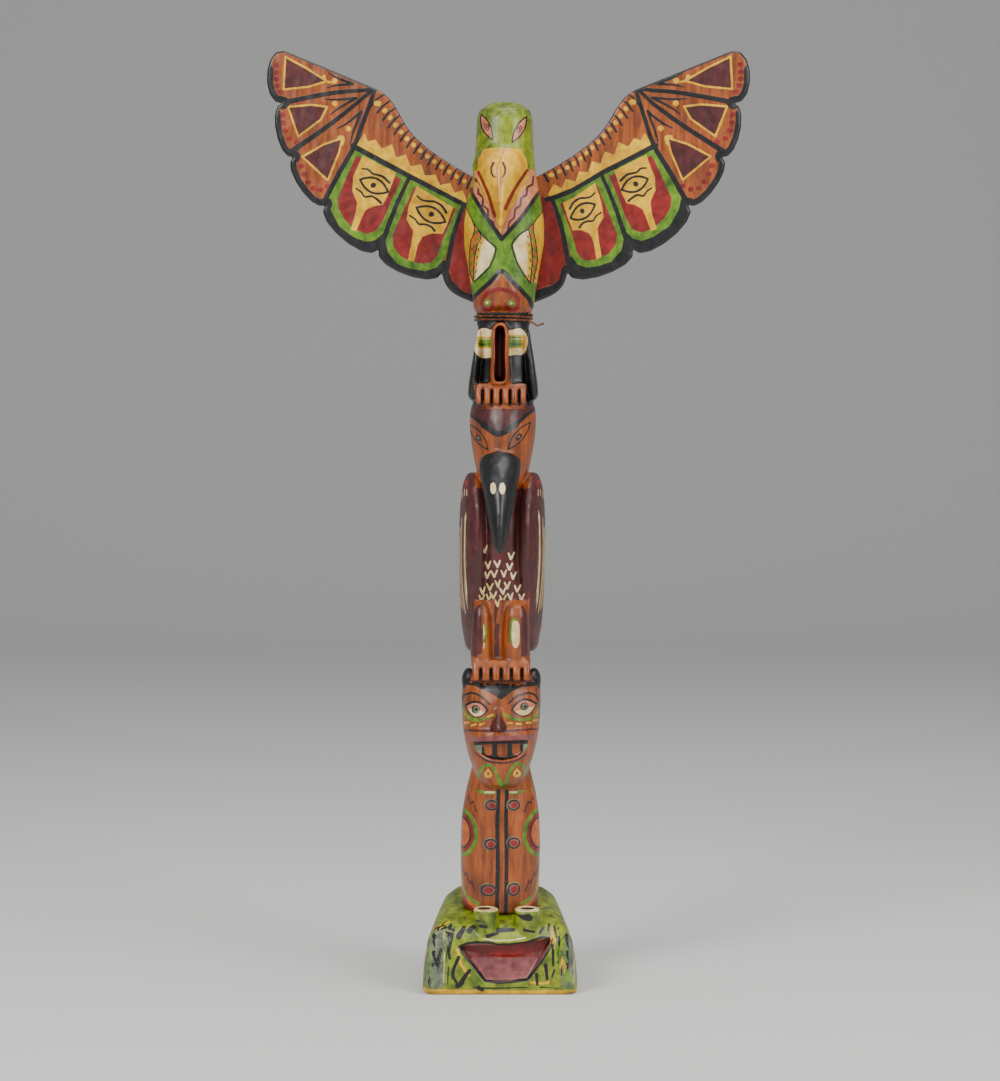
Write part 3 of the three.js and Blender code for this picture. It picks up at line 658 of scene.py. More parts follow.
# Black figure with a hollow fin down its front
def paintFigure(canvas, x, y, z):
    figure = canvas.view(allowed=(z > 414) & (z < 484.2) & ~((z < 424) & (y > -30) & (np.abs(x) < 17)))
    figure.area("black", [(-60, 416.5), (60, 416.5), (60, 484.4), (-60, 484.4)])
    figure.area("cream", [(-20.9, 466), (-18.6, 470), (-14, 471.8), (-9.5, 470.4), (-5, 469), (-5, 453.5),
                          (-9, 450.8), (-15.5, 450.6), (-19.8, 454), (-21, 459)], curved=True)
    figure.area("cream", [(0, 469.6), (6, 470.4), (11, 471.6), (14.6, 469.6), (17, 465), (16.8, 458),
                          (14, 453),
                          (8, 452.6), (0, 453)], curved=True)
    figure.area("yellow", [(-20, 465.6), (-6, 465.9), (-6, 457), (-18.6, 457.6)])
    figure.area("yellow", [(0, 467), (15.8, 466.4), (15.4, 457.4), (0, 456.6)])
    figure.area("green", [(-18.6, 464.6), (-6, 464.9), (-6, 458), (-17.6, 458.6)])
    figure.area("green", [(0, 466), (13, 465.4), (12.8, 458.2), (0, 457.6)])
    # The thin cream streak across the top of each green eye is a painted highlight.
    for x0, x1 in [(-18.4, -9), (5, 14.4)]:
        figure.line("cream", [(x0, 463.8), (x1, 464)], 0.5)
        figure.line("black", [(x0, 461), (x0 + 2, 460.2), (x1 - 1, 460.4)], 0.7)
    fin = canvas.view(allowed=(y < -24.6) & (z > 429) & (z < 478) & (np.abs(x + 2.4) < 8.6))
    fin.area("wood", [(-20, 425), (20, 425), (20, 480), (-20, 480)])
    # The hollow down the fin is painted maroon: its dark stain and painted shade in the groove.
    finGrooveStainAndShade = canvas.view(allowed=(y < -24.6) & (y > -41) & (z > 431) & (z < 474) & (np.abs(x + 2.4) < 4.2))
    finGrooveStainAndShade.area("maroon", [(-6.2, 434), (1.4, 434), (1.6, 471), (-6.4, 471)])
    toes = canvas.view(allowed=(y < -24.8) & (z > 414) & (z < 434))
    toes.area("wood", [(-20.5, 414), (17.4, 414), (17.2, 431), (12, 432.5), (6, 431.2), (-8, 431.6),
                       (-16, 432.6),
                       (-20.8, 431)])
    slots(canvas.view(allowed=(y < -20) & (z > 414) & (z < 434)), -20.3, 16.9, 416.5, 428.6)


# Raven
ravenMarks = [
    (-12.5, 314.5), (6.2, 309.6), (-9.9, 303.2), (-3.2, 304), (5.2, 302), (-10.6, 296), (-5.4, 297),
            (1.4, 297.2),
    (7.8, 295.6), (-8.7, 287.6), (-2.8, 290), (3.8, 288.8), (10.8, 286.4), (-13.8, 284.8), (0.8, 284.8),
    (-14.4, 279.4), (-9.4, 280), (-6, 281.6), (6.2, 280.8), (13.8, 280), (0.6, 279.2), (-2.9, 276.2),
]


def paintRaven(canvas, x, y, z):
    head = canvas.view(allowed=(z > 357) & (z < 424))
    head.area("wood", [(-60, 350), (60, 350), (60, 424), (-60, 424)])
    head.area("maroon", [(-60, 405), (-24.6, 411), (-2.9, 396), (20.6, 412.7), (60, 405), (60, 430),
                         (-60, 430)])
    head.line("black", [(-27, 413.5), (-23, 410), (-12, 401.5), (-2.9, 395.8), (8, 402), (18, 411),
                        (24, 415)],
              2.6, 2.6)
    head.line("black", [(-14, 403), (-2.9, 396.6), (9, 403)], 4.2, 4.2)
    for a, b, pupil, up, down in [((-24, 403), (-10.6, 385.4), (-17.4, 393.6), 3.2, 3.2),
                                  ((19.6, 404.6), (3.6, 385.6), (11.4, 394.4), 3.2, 3.4)]:
        head.leaf("black", a, b, up, down, ring=1.0)
        turn = math.atan2(a[1] - b[1], a[0] - b[0]) - math.pi / 2
        head.oval("black", pupil, 1.7, 2.7, turn)
        head.oval("grey", pupil, 0.7, 1.3, turn)
    beakArea = [(-17.3, 374), (-16.2, 378.5), (-12, 382), (-6.5, 383.6), (-2, 384.6), (3, 383.4),
                (8, 382), (12.4, 378.5),
                (13.4, 374), (12, 362), (9.5, 348), (5, 330), (0.5, 310), (-4.5, 310), (-9.5, 330),
                        (-13.5, 348),
                (-16, 362)]
    beak = canvas.view(allowed=(z > 310) & (z < 388) & (y < -30 - np.clip((352 - z) * 0.2, 0, 4)))
    beak.area("black", beakArea)
    beak.area("cream", [(-8.4, 361.5), (-6.2, 362.6), (-4.6, 359.5), (-5.2, 355.4), (-7.2, 354.6),
                        (-8.6, 357.5)],
              curved=True)
    beak.area("cream", [(-2, 361.6), (0.4, 362.4), (2, 359), (1.2, 355), (-0.9, 354.6), (-2.4, 357.5)],
              curved=True)
    # Breast
    breast = canvas.view(allowed=(z > 220) & (z < 358) & (y > -33 - np.clip((352 - z) * 0.2, 0, 4))
                         & (np.abs(x) < 22))
    breast.area("maroon", [(-60, 216), (60, 216), (60, 366), (-60, 366)])
    for i, (across, level) in enumerate(ravenMarks):
        size, tilt = 1 + 0.14 * math.sin(i * 2.3), 0.35 * math.sin(i * 1.7)
        breast.line("cream", [(across - 1.9 * size + tilt, level + 2.1), (across, level - 2.1)], 1.1, 1.5)
        breast.line("cream", [(across + 1.9 * size + tilt, level + 2.5), (across, level - 2.1)], 1.1, 1.5)
    legs = canvas.view(allowed=(z > 228) & (z < 278.2) & ((x < -5.2) | (x > -1.4))
                       & ((y < -24.5) | ((np.abs(x) < 20.5) & (y < -19))))
    legs.area("wood", [(-40, 220), (40, 220), (40, 290), (-40, 290)])
    legs = canvas.view(allowed=(z > 228) & (z < 280) & (y < -28))
    legs.area("cream", [(-17.4, 261), (-14.6, 263), (-11.9, 260), (-11.5, 251), (-13, 243.5),
                        (-16.4, 243),
                        (-17.6, 250)], curved=True)
    legs.line("green", [(-12.2, 261.5), (-11.2, 256), (-12.3, 249)], 1.5)
    legs.area("cream", [(6.8, 262), (9, 264.4), (12, 262.6), (12.8, 255), (12.2, 247), (9.6, 244.6),
                        (7.2, 249)],
              curved=True)
    legs.line("green", [(6.4, 249), (6.2, 258), (7.8, 265), (11.6, 264.6)], 1.6)
    feet = canvas.view(allowed=(z > 221.2) & (z < 237) & ((y < -17) | (z > 226.5))
                       & (y < -13) & (np.abs(x) < 21.8))
    feet.area("wood", [(-60, 215), (60, 215), (60, 236.6), (-60, 236.6)])
    slots(feet, -21, 20.8, 218, 230.6)
    canvas.lay("wood", np.arange(len(x)), np.where((z > 226) & (z < 364) & (np.abs(x) < 19),
                                                   13 + np.sin(z * 0.3) - y, farAway))
    for side in (-1, 1):
        onWing = (x * side > 13.4) & (z > 238) & (z < 370) & (y > -36)
        wing = canvas.view(allowed=onWing & (np.abs(x - side * 21.6) < 16)
                           & ((np.abs(x) > 19.5) | (y < -29.5)))
        wing.area("maroon", [(-60, 236), (60, 236), (60, 372), (-60, 372)])
        flat = canvas.view(across=y, allowed=onWing & (x * side > 22.4 - 0.24 * (y + 8)))
        flat.line("red", [(-26, 348), (-12, 362), (4, 352), (13, 330), (15, 300), (12, 262)], 2.6)
        flat.line("cream", [(-24, 262), (-29.5, 290), (-31.6, 322), (-27.5, 348), (-20, 358)], 1.2)
        flat.area("cream", [(-27.5, 337), (-22, 344), (-17, 338), (-14, 310), (-13.5, 280), (-17, 262),
                            (-22.5, 270),
                            (-26, 300)])
        flat.area("maroon", [(-25.5, 334), (-22.4, 339.5), (-20, 334), (-17.8, 308), (-18, 282),
                             (-20, 270),
                             (-22.4, 276), (-24.6, 300)])
        flat.line("yellow", [(-22.6, 332), (-20.6, 306), (-21, 282)], 1.8, 1.2)
        flat.line("black", [(-24.6, 333), (-22.4, 306), (-22.6, 278)], 0.8)
        flat.line("black", [(-16.2, 336), (-14.8, 306), (-16, 270)], 0.9)
        for k in range(3):
            flat.line("cream", [(-9 + 6 * k, 336 - 7 * k), (-7 + 6 * k, 300 - 5 * k),
                                (-10 + 5.4 * k, 268 + 2 * k)],
                      1.5, 1.0)
            flat.line("yellow", [(-6.4 + 6 * k, 330 - 7 * k), (-4.6 + 6 * k, 300 - 5 * k),
                                 (-7.4 + 5.4 * k, 272)],
                      0.9)
        for k in range(5):
            flat.line("cream", [(-24 + 5.5 * k, 350 + 3 * math.sin(k)),
                                (-22 + 5.5 * k, 354 + 3 * math.sin(k))], 1.1)


# Bear-like figure and its column
def paintBear(canvas, x, y, z):
    head = canvas.view(allowed=(z > 143) & (z < 227.5) & ((z < 219) | (np.abs(x) > 17.5) | (y > -22)
                                                          | (z > 226.2) | (y > -26 - (z - 219))))
    head.area("wood", [(-60, 140), (60, 140), (60, 230), (-60, 230)])
    head.area("black", [(-60, 214), (-34, 214), (-27.6, 217), (-19, 217.2), (-8, 213), (0, 208),
                        (7.4, 213.7),
                        (14.6, 216.6), (25.4, 216.6), (34, 213), (60, 213), (60, 232), (-60, 232)])
    head.line("black", [(-28.4, 205.5), (-27, 209), (-23, 211.6), (-18.6, 211.8), (-13.5, 209.4),
                        (-8, 204.8)],
              1.5, 1.2)
    head.line("black", [(5.2, 205.6), (10.3, 209.8), (16, 211.8), (20.4, 212), (24.2, 210),
                        (26.6, 205.8)], 1.2, 1.5)
    ear = canvas.view(allowed=(z > 210) & (z < 230) & (np.abs(x) > 17.6) & (y > -16.6) & (y < 4))
    ear.area("black", [(-60, 214), (60, 214), (60, 232), (-60, 232)])
    for corners, top, bottom, pupil, size in [(((-25.4, 202.6), (-9.7, 200.6)), 206.2, 195.2,
                                               (-18.2, 200.8), 3.0),
                                              (((7.5, 201), (25.2, 203.8)), 207.8, 196.2, (16.4, 203),
                                               2.9)]:
        a, b = corners
        middle = (a[1] + b[1]) / 2
        head.leaf("pink", a, b, top - middle, middle - bottom)
        head.leaf("cream", (a[0] + 1.5, a[1] - 1.6), (b[0] - 1.5, b[1] - 1.4), 0.4, middle - bottom - 1.6)
        head.leaf("black", a, b, top - middle, middle - bottom, ring=0.9)
        head.leaf("black", a, b, top - middle, -(top - middle), ring=1.5)
        head.oval("black", pupil, size, size)
        head.oval("grey", (pupil[0] + 0.3, pupil[1]), size * 0.72, size * 0.72)
        head.oval("black", (pupil[0] + 0.5, pupil[1] - 0.2), size * 0.36, size * 0.4)
    head.line("olive", [(-28.6, 202), (-27, 197.4), (-22, 194), (-16, 193.2)], 3.0, 2.4)
    head.line("green", [(-22, 193.8), (-16, 193.4), (-11, 194.6), (-5.6, 197.2)], 2.0, 1.9)
    head.line("yellow", [(-9.5, 196), (-6, 197.6)], 1.3)
    head.line("green", [(1.6, 197.8), (8, 194.8), (14, 193.6), (20, 193.6)], 1.9, 2.0)
    head.line("olive", [(19, 193.8), (24, 194.8), (27, 198), (28.4, 202)], 2.4, 3.0)
    for x0, level in [(-24.6, 190.6), (-19.6, 189.8), (-13.4, 191), (6.4, 191), (12.5, 190.2),
                      (19.8, 190.6),
                      (24.8, 191.6)]:
        head.line("yellow", [(x0 - 1.6, level - (0.9 if x0 < 0 else -0.6)), (x0 + 1.6, level + 0.4)], 1.5,
                  1.1)
    head.area("maroon", [(-2, 200.6), (0.8, 195), (4.2, 189), (3.2, 185.8), (-7.2, 185.8), (-8, 189),
                         (-4.6, 195)])
    head.area("rose", [(-23, 177.4), (-24, 180.2), (-14, 182.2), (0, 183), (14, 183.4), (24.4, 182),
                       (23.6, 178.6),
                       (8, 178.4), (-8, 177.8)])
    head.line("maroon", [(-27.6, 178), (-26.4, 183.4), (-22, 185.4), (-7, 186.3), (3, 186), (14, 186.6),
                         (23, 186),
                         (27, 184), (27.8, 179)], 1.5)
    mouth = [(-22.4, 176.6), (-14, 178), (0, 178.8), (14, 179.2), (22.8, 178.4), (18, 171.5), (11, 167.2),
             (1, 165),
             (-9, 166.6), (-17, 171)]
    lower = canvas.view(allowed=(z > 160) & (z < 179.5) & (y < -30))
    lower.line("maroon", [(-23.6, 176.4), (-17.6, 169.4), (-9.6, 164.8), (1, 163.4), (11.6, 165.4),
                          (19, 170),
                          (23.8, 177.6)], 1.6)
    lower.area("black", mouth)
    for middle, wide, low in [(-8.9, 2.9, 168.2), (1, 3.7, 167), (10.8, 3.0, 168.2)]:
        lower.area("wood", [(middle - wide, 176.2), (middle + wide, 176.4),
                            (middle + wide * 0.95, low + 1.6),
                            (middle + wide * 0.5, low), (middle - wide * 0.5, low),
                                    (middle - wide * 0.95, low + 1.6)])
    for tooth in [[(-20, 175), (-13.6, 175.6), (-13.8, 169.6), (-17, 171)],
                  [(15.6, 176), (20.6, 176.6), (18, 172), (15.6, 169.8)]]:
        lower.area("grey", tooth)
    lower.line("black", [(-20, 176.8), (0, 177.6), (20, 178)], 2.2)
    chin = canvas.view(allowed=(z > 143.5) & (z < 164) & (y < -18))
    chin.line("green", [(-15.8, 151.5), (-14.4, 157.4), (-11, 161.4), (-6.4, 160.8), (-3.4, 156.4),
                        (1.6, 146.8),
                        (6.4, 156.6), (9.4, 161.4), (13.4, 162.2), (16.8, 158.4), (17.4, 152)], 2.3)
    chin.area("green", [(-3.6, 152), (1.6, 145), (7, 152), (4.6, 147), (1.6, 143.6), (-1.6, 147)])
    for middle in [(-8.9, 155.2), (11.6, 155.4)]:
        chin.area("yellow", [(middle[0] - 0.2, middle[1] + 4), (middle[0] + 2.8, middle[1]),
                             (middle[0] + 1.8, middle[1] - 2.8),
                             (middle[0] - 1.8, middle[1] - 2.8), (middle[0] - 2.8, middle[1])],
                                     curved=True)
        chin.area("maroon", [(middle[0], middle[1] + 1.6), (middle[0] + 1.2, middle[1] - 0.6),
                             (middle[0] - 1.1, middle[1] - 0.6)])


def paintColumn(canvas, x, y, z):
    aroundColumn = 28.4 * np.arctan2(x, -y * 1.06)
    low = (z < 150) & ~((z > 143) & (y < -29))
    column = canvas.view(allowed=low)
    column.area("wood", [(-60, 40), (60, 40), (60, 152), (-60, 152)])
    wrapped = canvas.view(across=aroundColumn, allowed=low)
    for side in (-1, 1):
        middle = (side * 32, 110)
        for colour, size in [("green", 17.4), ("red", 14.2), ("black", 11.2), ("orange", 9.8)]:
            wrapped.oval(colour, middle, size * 0.94, size)
        wrapped.line("yellow", [(side * 31.6, 113.4), (side * 32.2, 108)], 1.6)
        wrapped.oval("maroon", middle, 1.4, 2.4, ring=0.9)
        for zigzag in [[(30, 133), (27.5, 137), (24.5, 131.5), (21.5, 133.5), (17.5, 126.5)],
                       [(33, 86), (29, 79.5), (26.5, 82), (22.5, 74.5), (20.5, 76.5), (18.4, 69.6)]]:
            wrapped.line("maroon", [(side * u, level) for u, level in zigzag], 1.4, curved=False)
        corner = [(side * 33, 79), (side * 30.5, 71.5), (side * 25.5, 65), (side * 15.6, 60.4)]
        wrapped.area("orange", corner + [(side * 16, 44), (side * 44, 44), (side * 44, 78)])
        wrapped.area("red", [(side * 40, 73), (side * 31, 66), (side * 25, 60), (side * 17, 56),
                             (side * 17, 44),
                             (side * 44, 44)])
        wrapped.line("green", corner, 2.6)
        arch = [(side * 30, 141), (side * 23, 146.6), (side * 19, 142), (side * 12, 140.2),
                (side * 4, 140.4)]
        wrapped.line("green", arch, 2.4)
        wrapped.line("cream", [(side * 12, 140.6), (side * 5, 140.8)], 1.5)
        wrapped.line("red", [(side * 27, 150), (side * 21, 143), (side * 13, 143.8)], 2.0)
    column.line("black", [(-1.4, 144), (-2.2, 120), (-1.8, 90), (-2.2, 56)], 3.0)
    column.line("black", [(4.6, 144), (4.0, 120), (4.5, 90), (4.0, 46)], 2.7)
    for middle, wide, high in [((-6.4, 131.5), 4, 3.3), ((9.4, 131.5), 4, 3.4), ((-7, 103.7), 4.2, 3.4),
                               ((9.6, 104.5), 4.2, 3.6), ((-8.4, 70.6), 5.2, 3.8), ((9.8, 71.2), 4, 4.2)]:
        column.oval("grey", (middle[0] - 0.3, middle[1] + 0.2), wide + 1.0, high + 1.0)
        column.oval("black", middle, wide + 0.5, high + 0.5)
        column.oval("rose", middle, wide - 0.6, high - 0.6)
        column.oval("red", (middle[0] + 0.5, middle[1] - 0.2), wide * 0.6, high * 0.6)
    canvas.lay("wood", np.arange(len(x)), np.where(z < 143, 14 + np.sin(z * 0.3) - y, farAway))


def paintPole(points):
    x = points[:, 0] - carving["lean"] * (points[:, 2] - carving["seat"])
    y, z = points[:, 1], points[:, 2]
    canvas = Canvas(x, z)
    for part in (paintColumn, paintBear, paintRaven, paintFigure, paintThunderbird):
        part(canvas, x, y, z)
    return canvas.layers


# Frog block
frogPaint = {
    "mouth": [(-28.4, 34), (-23.5, 36), (-17, 36.8), (-8, 36.6), (-1.5, 35.2), (8, 35.4), (19.4, 36.8),
              (29.7, 40.2),
              (37, 39.3), (33.8, 31), (25.6, 18.7), (19.4, 10.9), (9.1, 9.5), (-1.2, 9), (-10.5, 10),
                      (-18.7, 20.2),
              (-26, 29)],
    "strokes": [
        [(-34.7, 49.5), (-35.8, 41.5), 2.0], [(-33.2, 44.5), (-36, 32), (-35.6, 26), 2.6],
        [(-29.3, 26.5), (-33.5, 15.5), (-30.6, 8.4), 2.6], [(-30, 6.4), (-26.5, 8.5), 3.6],
        [(-28, 7.4), (-25.6, 12), (-21.5, 17.5), 3.6], [(-33, 17), (-33.5, 12), 2.4],
        [(-29.2, 41), (-25.6, 46), 4.2], [(-21.9, 44.4), (-18.4, 47), 3.8],
                [(-13.6, 48.4), (-9.6, 47.6), 2.8],
        [(-8.6, 41.3), (-1.6, 43), 3.0], [(-1.4, 44.8), (10, 45), 3.2], [(17.4, 45.6), (24.2, 44), 2.4],
        [(28.6, 43.4), (31, 46.4), 2.4], [(35, 48.6), (34.2, 44.6), 2.2], [(-32.2, 53), (-25, 53.4), 2.4],
        [(-22.4, 61), (-22.8, 54.8), 2.0], [(29.2, 60), (29.6, 53.6), 2.0],
                [(32.3, 21), (33.4, 11.4), 2.8],
        [(37.4, 35), (37.6, 21), 2.2], [(42, 40), (41, 22.8), 1.6], [(38.6, 46.4), (40.2, 38.4), 1.5],
        [(38.4, 17.6), (36.8, 12.6), 1.6], [(25.8, 14.6), (26.4, 7.4), 2.6],
                [(45.6, 51), (41.4, 45), 1.6],
        [(-46, 51.4), (-40.4, 56), 1.4], [(-40, 50), (-37.4, 38), (-38.2, 24), 1.0],
                [(-44, 44), (-48, 47.4), 1.4],
        [(43.4, 31), (43.4, 14), 1.2], [(-18.6, 5.4), (-5, 4.8), (13, 5.2), (20, 5.2), 1.2],
                [(-15, 5), (-12.4, 3.4), 3.2],
        [(28, 5.6), (41, 4.8), 0.9], [(-36.6, 20), (-37, 8), 1.1],
    ],
    "pupil": (4.9, 3.4),
}
frogEyes = [(-9.9, -37.8), (19.3, -37.8)]


def paintFrog(points):
    x, y, z = points.T
    canvas = Canvas(x, z)
    onFront = y < -36
    everywhere = np.arange(len(x))
    canvas.lay("olive", everywhere, np.full(len(x), -farAway))
    front = canvas.view(allowed=onFront)
    # Legs at the corners, greyer than the rest
    for x0, x1 in [(-52.5, -39.2), (43.6, 53)]:
        front.area("grey", [(x0 + 2.5, 43), (x1 - 1, 44), (x1, 30), (x1 - 0.4, 7), (x0 + 0.5, 7),
                            (x0, 26)], curved=True)
        middle = (x0 + x1) / 2
        for level in (36.5, 27, 18):
            front.line("black", [(middle - 0.9, level + 3.4), (middle + 0.6, level - 3)], 3.4, 1.6)
            front.line("grey", [(middle + 1.2, level + 3.4), (middle + 1.4, level - 3)], 2.2, 2.2)
        front.line("cream", [(x1 - 0.6, 43), (x1 - 0.3, 22), (x1 - 0.8, 9)], 0.7)
        front.line("green", [(x0 + 1.5, 40), (x0 + 2.6, 24), (x0 + 2, 10)], 1.5)
    front.line("green", [(-36, 46), (-37.4, 30), (-35.6, 14)], 1.2)
    front.line("green", [(-22, 23), (-14, 9.6), (-12, 7.4)], 1.6)
    front.line("green", [(27.6, 24), (20.8, 12.6), (19, 8)], 1.6)
    front.line("cream", [(-11.6, 39.4), (-2, 38.2), (8, 38.4), (18, 40.2)], 0.9)
    front.line("yellow", [(-30, 32), (-27.6, 22), (-22, 14)], 2.0)
    front.line("yellow", [(22, 9), (30, 8.4), (36, 9.6)], 2.0)
    rim = canvas.view(across=np.where(np.abs(y) > 40, x, y))
    rim.area("yellow", [(-70, -5), (70, -5), (70, 3.4), (40, 3.6), (10, 3.1), (-20, 3.6), (-45, 4.4),
                        (-70, 3.6)])
    for *stroke, width in frogPaint["strokes"]:
        front.line("black", stroke, width, width * 0.7)
    # Open mouth: a dark red roof, painted shade under the upper lip, over a dusty pink lip, with a black
    # edge
    mouth = canvas.view(allowed=(y < -20) & (np.abs(x) < 40) & (z < 46))
    mouth.area("black", frogPaint["mouth"], grow=1.1)
    mouth.area("rose", frogPaint["mouth"], grow=-0.7)
    # The dark red roof is painted shade in the recess under the upper lip.
    inside = canvas.view(allowed=(y < -20) & (y > -46.2) & (np.abs(x) < 40) & (z < 46) & (z > 24.5))
    inside.area("red", [(-27, 33.6), (-25, 30), (-14, 27), (5, 24.5), (22, 27), (33, 31), (36.4, 38.8),
                        (29.6, 39.4),
                        (19, 36), (8, 34.6), (-2, 34.4), (-10, 35.8), (-18, 36)])
    # Eyes: pale tops with a dark pupil
    above = canvas.view(across=x, up=y, allowed=z > 58.4)
    for i, (across, forward) in enumerate(frogEyes):
        above.oval("cream", (across, forward), 9.6, 9.6)
        above.oval("black", (across + 0.2 - 1.6 * (1 - i), forward - 1), *frogPaint["pupil"])
    front.area("black", [(9.4, 57.8), (14.6, 56.2), (20.6, 57), (23.4, 54.8), (21.6, 52), (17, 52.6),
                         (13.4, 54.6)],
               curved=True)
    front.line("black", [(-17, 52), (-12, 51.5)], 1.0)
    for i in range(34):
        across = (-1) ** i * (36 + 15 * ((i * 0.618) % 1))
        level = 10 + 38 * ((i * 0.3819) % 1)
        front.line(["green", "black", "yellow", "grey"][i % 4],
                   [(across, level), (across - (-1) ** i * 1.4, level - 4 - 5 * ((i * 0.73) % 1))], 1.2,
                           0.6)
    # Loose brush strokes over the slopes and the other sides
    top = canvas.view(across=x, up=y, allowed=(z > 43) & (y > -47) & (z < 64.5)
                      & (np.hypot(x + 9.9, y + 37.8) > 9.6) & (np.hypot(x - 19.3, y + 37.8) > 9.6))
    for i in range(90):
        across = -52 + 104 * ((i * 0.618) % 1)
        deep = -40 + 86 * ((i * 0.3819 + 0.13) % 1)
        length = 4 + 5 * ((i * 0.724) % 1)
        tilt = 0.5 * math.sin(i * 1.7)
        colour = ["grey", "black", "green", "grey", "black", "yellow", "grey"][i % 7]
        top.line(colour, [(across, deep), (across + length, deep + tilt * length)], 1.8 - 0.2 * (i % 3),
                 0.6)
    for s in (-1, 1):
        for i in range(46):
            deep = -42 + 86 * ((i * 0.618 + 0.2) % 1)
            level = 8 + 40 * ((i * 0.3819 + 0.4) % 1)
            flank = canvas.view(across=y, allowed=(x * s > 36) & (y > -46) & (y < 46.5))
            colour = ["black", "grey", "green", "black", "yellow"][i % 5]
            flank.line(colour, [(deep, level),
                                (deep + 3 * math.sin(i * 2.1), level - 6 - 5 * ((i * 0.73) % 1))],
                       2.2 - 0.3 * (i % 3), 1.0)
    back = canvas.view(allowed=y > 46)
    for i in range(16):
        across = -44 + 88 * ((i * 0.618) % 1)
        level = 12 + 34 * ((i * 0.3819) % 1)
        back.line(["black", "green", "grey", "yellow"][i % 4],
                  [(across, level), (across + 2.4 * math.sin(i), level - 8)], 2.0, 1.0)
    canvas.lay("wood", everywhere, z - 0.25)
    return canvas.layers


# Shader maths: a wrapped socket, so that nodes are made by writing an expression
class Wire:
    def __init__(self, tree, socket=None):
        self.tree, self.socket = tree, socket

    def node(self, kind, settings=None, sockets=None, outlet=0):
        made = self.tree.nodes.new("ShaderNode" + kind)
        for name, value in (settings or {}).items():
            setattr(made, name, value)
        for key, value in (sockets or {}).items():
            if isinstance(value, Wire):
                self.tree.links.new(value.socket, made.inputs[key])
            else:
                made.inputs[key].default_value = value
        return Wire(self.tree, made.outputs[outlet] if len(made.outputs) else None)

    def maths(self, operation, a, b=0.0, clamp=False):
        return self.node("Math", {"operation": operation, "use_clamp": clamp}, {0: a, 1: b})

    def __add__(self, other):
        return self.maths("ADD", self, other)

    def __radd__(self, other):
        return self.maths("ADD", other, self)

    def __sub__(self, other):
        return self.maths("SUBTRACT", self, other)

    def __rsub__(self, other):
        return self.maths("SUBTRACT", other, self)

    def __mul__(self, other):
        return self.maths("MULTIPLY", self, other)

    def __rmul__(self, other):
        return self.maths("MULTIPLY", other, self)

    # 0 below low and 1 above high, with a soft step between
    def rise(self, low, high):
        return self.node("MapRange", {"interpolation_type": "SMOOTHSTEP"},
                         {"Value": self, "From Min": low, "From Max": high})

    def noise(self, where, scale, detail=3.0, roughness=0.55, outlet=0):
        return self.node("TexNoise", None, {"Vector": where, "Scale": scale, "Detail": detail,
                                            "Roughness": roughness}, outlet)

    def mix(self, share, a, b):
        return self.node("Mix", {"data_type": "RGBA"}, {0: share, 6: a, 7: b}, 2)

    def attribute(self, name):
        return self.node("Attribute", {"attribute_name": name}, None, 2)


def colour(code):
    parts = [int(code[i:i + 2], 16) / 255 for i in (0, 2, 4)]
    return tuple(p / 12.92 if p <= 0.04045 else ((p + 0.055) / 1.055) ** 2.4 for p in parts) + (1.0,)


# Dark and light of each paint
paints = {
    "wood": ("5A2808", "B85A16"),
    "orange": ("9A3E06", "D86C14"),
    "red": ("5A0906", "92150D"),
    "maroon": ("320B0B", "5A1A19"),
    "pink": ("A8583C", "D88A66"),
    "olive": ("384C06", "96A210"),
    "green": ("285006", "6E980E"),
    "yellow": ("A87600", "F2BC00"),
    "cream": ("C4A458", "F2E2B4"),
    "grey": ("3A4438", "828C68"),
    "rose": ("5C2226", "96504E"),
    "black": ("020202", "0F0F11"),
}
finish = {
    "edgeSoftness": 0.16,
    "edgeWander": 0.2,
    "roughness": 0.43,
    "coat": 0.16,
    "paintThickness": 0.00016,
    "grainBump": 0.00010,
    "wearFrom": 0.2,
    "shadeAndGrimeFrom": 0.07,
}


